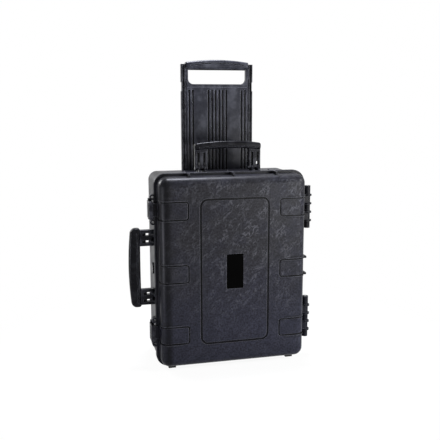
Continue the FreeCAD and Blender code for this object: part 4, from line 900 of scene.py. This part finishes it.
# Softboxes in metres: place, what they point at, width and height, colour, and whether matt surfaces see
# them too. The low one at the left only draws the stripe of light along the lid's edge.
LAMPS = {
    "key": ((2.2, -1.4, 1.6), CASE_MIDDLE, (0.8, 0.8), WHITE, True),
    "top": ((0.1, 0.3, 2.4), CASE_MIDDLE, (0.5, 0.5), COOL_WHITE, True),
    "front": ((1.75, -2.9, 0.35), CASE_MIDDLE, (0.9, 0.6), WHITE, True),
    "back": ((-1.8, 1.9, 1.5), CASE_MIDDLE, (1.0, 1.0), WHITE, True),
    "side": ((-1.35, -0.55, 0.14), (-0.2, -0.1, 0.3), (0.35, 0.24), COOL_WHITE, False),
}


def make_lamps(stage):
    """Softboxes that point from their places at their targets."""
    for name, (spot, target, size, colour, matt) in LAMPS.items():
        light = bpy.data.lights.new(name, "AREA")
        light.shape = "RECTANGLE"
        light.size, light.size_y = size
        light.energy = getattr(stage, name + "_power")
        light.color = linear(colour)
        lamp = bpy.data.objects.new(name, light)
        bpy.context.scene.collection.objects.link(lamp)
        aim = (Vector(target) - Vector(spot)).to_track_quat("-Z", "Y")
        lamp.matrix_world = Matrix.Translation(spot) @ aim.to_matrix().to_4x4()
        lamp.visible_diffuse = matt


def white_seen(tree):
    """One where the camera, a mirror or glass looks straight at the background, and zero elsewhere."""
    rays = add(tree, "ShaderNodeLightPath").outputs
    mirror = add(tree, "ShaderNodeMath", {
        0: rays["Is Glossy Ray"], 1: rays["Is Transmission Ray"]}, operation="MAXIMUM")
    return add(tree, "ShaderNodeMath", {
        0: rays["Is Camera Ray"], 1: mirror.outputs[0]}, operation="MAXIMUM").outputs[0]


# Distances from the case in metres between which the floor turns white to the eye, and how white it is
# near the case.
FLOOR_SPAN = (0.2, 0.8)
FLOOR_NEAR_WHITE = 0.93


def make_floor(stage, finish):
    """Square floor at the height of the feet; white to the eye far away, with the case's shadow near it."""
    half = stage.floor_size / 2
    corners = [(-half, -half, 0), (half, -half, 0), (half, half, 0), (-half, half, 0)]
    mesh = bpy.data.meshes.new("floor")
    mesh.from_pydata(corners, [], [(0, 1, 2, 3)])
    floor = bpy.data.objects.new("floor", mesh)
    bpy.context.scene.collection.objects.link(floor)
    material = bpy.data.materials.new("pale_paper_floor")
    material.use_nodes = True
    tree = material.node_tree
    tree.nodes.clear()
    paper = add(tree, "ShaderNodeBsdfDiffuse", {"Color": (*finish.paper, 1)})
    white = add(tree, "ShaderNodeEmission", {"Color": (*linear(WHITE), 1), "Strength": 1.0})
    place = add(tree, "ShaderNodeTexCoord").outputs["Object"]
    distance = add(tree, "ShaderNodeVectorMath", {0: place}, operation="LENGTH")
    far = add(tree, "ShaderNodeMapRange", {
        "Value": distance.outputs["Value"], "From Min": FLOOR_SPAN[0], "From Max": FLOOR_SPAN[1],
        "To Min": FLOOR_NEAR_WHITE, "To Max": 1.0}, interpolation_type="SMOOTHSTEP")
    share = add(tree, "ShaderNodeMath", {0: white_seen(tree), 1: far.outputs[0]}, operation="MULTIPLY")
    mixed = add(tree, "ShaderNodeMixShader", {0: share.outputs[0], 1: paper.outputs[0], 2: white.outputs[0]})
    add(tree, "ShaderNodeOutputMaterial", {"Surface": mixed.outputs[0]})
    mesh.materials.append(material)


def make_world(stage):
    """White surroundings for the eye and for reflections, and a lower, even light for matt surfaces."""
    world = bpy.data.worlds.new("studio")
    bpy.context.scene.world = world
    world.use_nodes = True
    tree = world.node_tree
    tree.nodes.clear()
    strength = add(tree, "ShaderNodeMapRange", {
        "Value": white_seen(tree), "To Min": stage.ambient, "To Max": 1.0})
    light = add(tree, "ShaderNodeBackground", {"Color": (*linear(WHITE), 1), "Strength": strength.outputs[0]})
    add(tree, "ShaderNodeOutputWorld", {"Surface": light.outputs[0]})


SENSOR_MM = 36.0


def make_camera(stage):
    """Camera turned by its yaw, pitch and roll at its spot."""
    data = bpy.data.cameras.new("camera")
    data.lens = stage.focal
    data.sensor_width = SENSOR_MM
    data.sensor_fit = "HORIZONTAL"
    camera = bpy.data.objects.new("camera", data)
    bpy.context.scene.collection.objects.link(camera)
    turn = (
        Matrix.Rotation(-stage.yaw, 4, "Z")
        @ Matrix.Rotation(QUARTER_TURN - stage.pitch, 4, "X")
        @ Matrix.Rotation(stage.roll, 4, "Z")
    )
    camera.matrix_world = Matrix.Translation(stage.spot) @ turn
    bpy.context.scene.camera = camera


class CASE_OT_stage(bpy.types.Operator):
    """Make the floor, the white surroundings, five softboxes and the camera."""

    bl_idname = "case.stage"
    bl_label = "Stage"

    def execute(self, context):
        stage = context.scene.case_stage
        context.scene.view_settings.view_transform = "Standard"
        make_floor(stage, context.scene.case_finish)
        make_world(stage)
        make_lamps(stage)
        make_camera(stage)
        return {"FINISHED"}


class CASE_PT_panel(bpy.types.Panel):
    """Sidebar panel with the steps, colours and sizes."""

    bl_idname = "CASE_PT_panel"
    bl_label = "Wheeled hard case"
    bl_space_type = "VIEW_3D"
    bl_region_type = "UI"
    bl_category = "Case"

    def draw(self, context):
        column = self.layout.column()
        for step in STEPS:
            column.operator(step.bl_idname)
        scene = context.scene
        for group in (scene.case_finish, scene.case_forms, scene.case_stage):
            for name in group.__annotations__:
                column.prop(group, name)


STEPS = (
    CASE_OT_stage, CASE_OT_dress_nodes, CASE_OT_screws, CASE_OT_wheels, CASE_OT_latches, CASE_OT_lug_webs)
CLASSES = (CaseFinish, CaseForms, CaseStage, *STEPS, CASE_PT_panel)


def register():
    """Register the classes and hang the groups of settings on the scene."""
    for item in CLASSES:
        bpy.utils.register_class(item)
    bpy.types.Scene.case_finish = PointerProperty(type=CaseFinish)
    bpy.types.Scene.case_forms = PointerProperty(type=CaseForms)
    bpy.types.Scene.case_stage = PointerProperty(type=CaseStage)


def unregister():
    """Undo register."""
    del bpy.types.Scene.case_stage
    del bpy.types.Scene.case_forms
    del bpy.types.Scene.case_finish
    for item in reversed(CLASSES):
        bpy.utils.unregister_class(item)


def main():
    """Run the steps in order."""
    register()
    bpy.ops.case.stage()
    bpy.ops.case.dress_nodes()
    bpy.ops.case.screws()
    bpy.ops.case.wheels()
    bpy.ops.case.latches()
    bpy.ops.case.lug_webs()


if __name__ == "__main__":
    main()
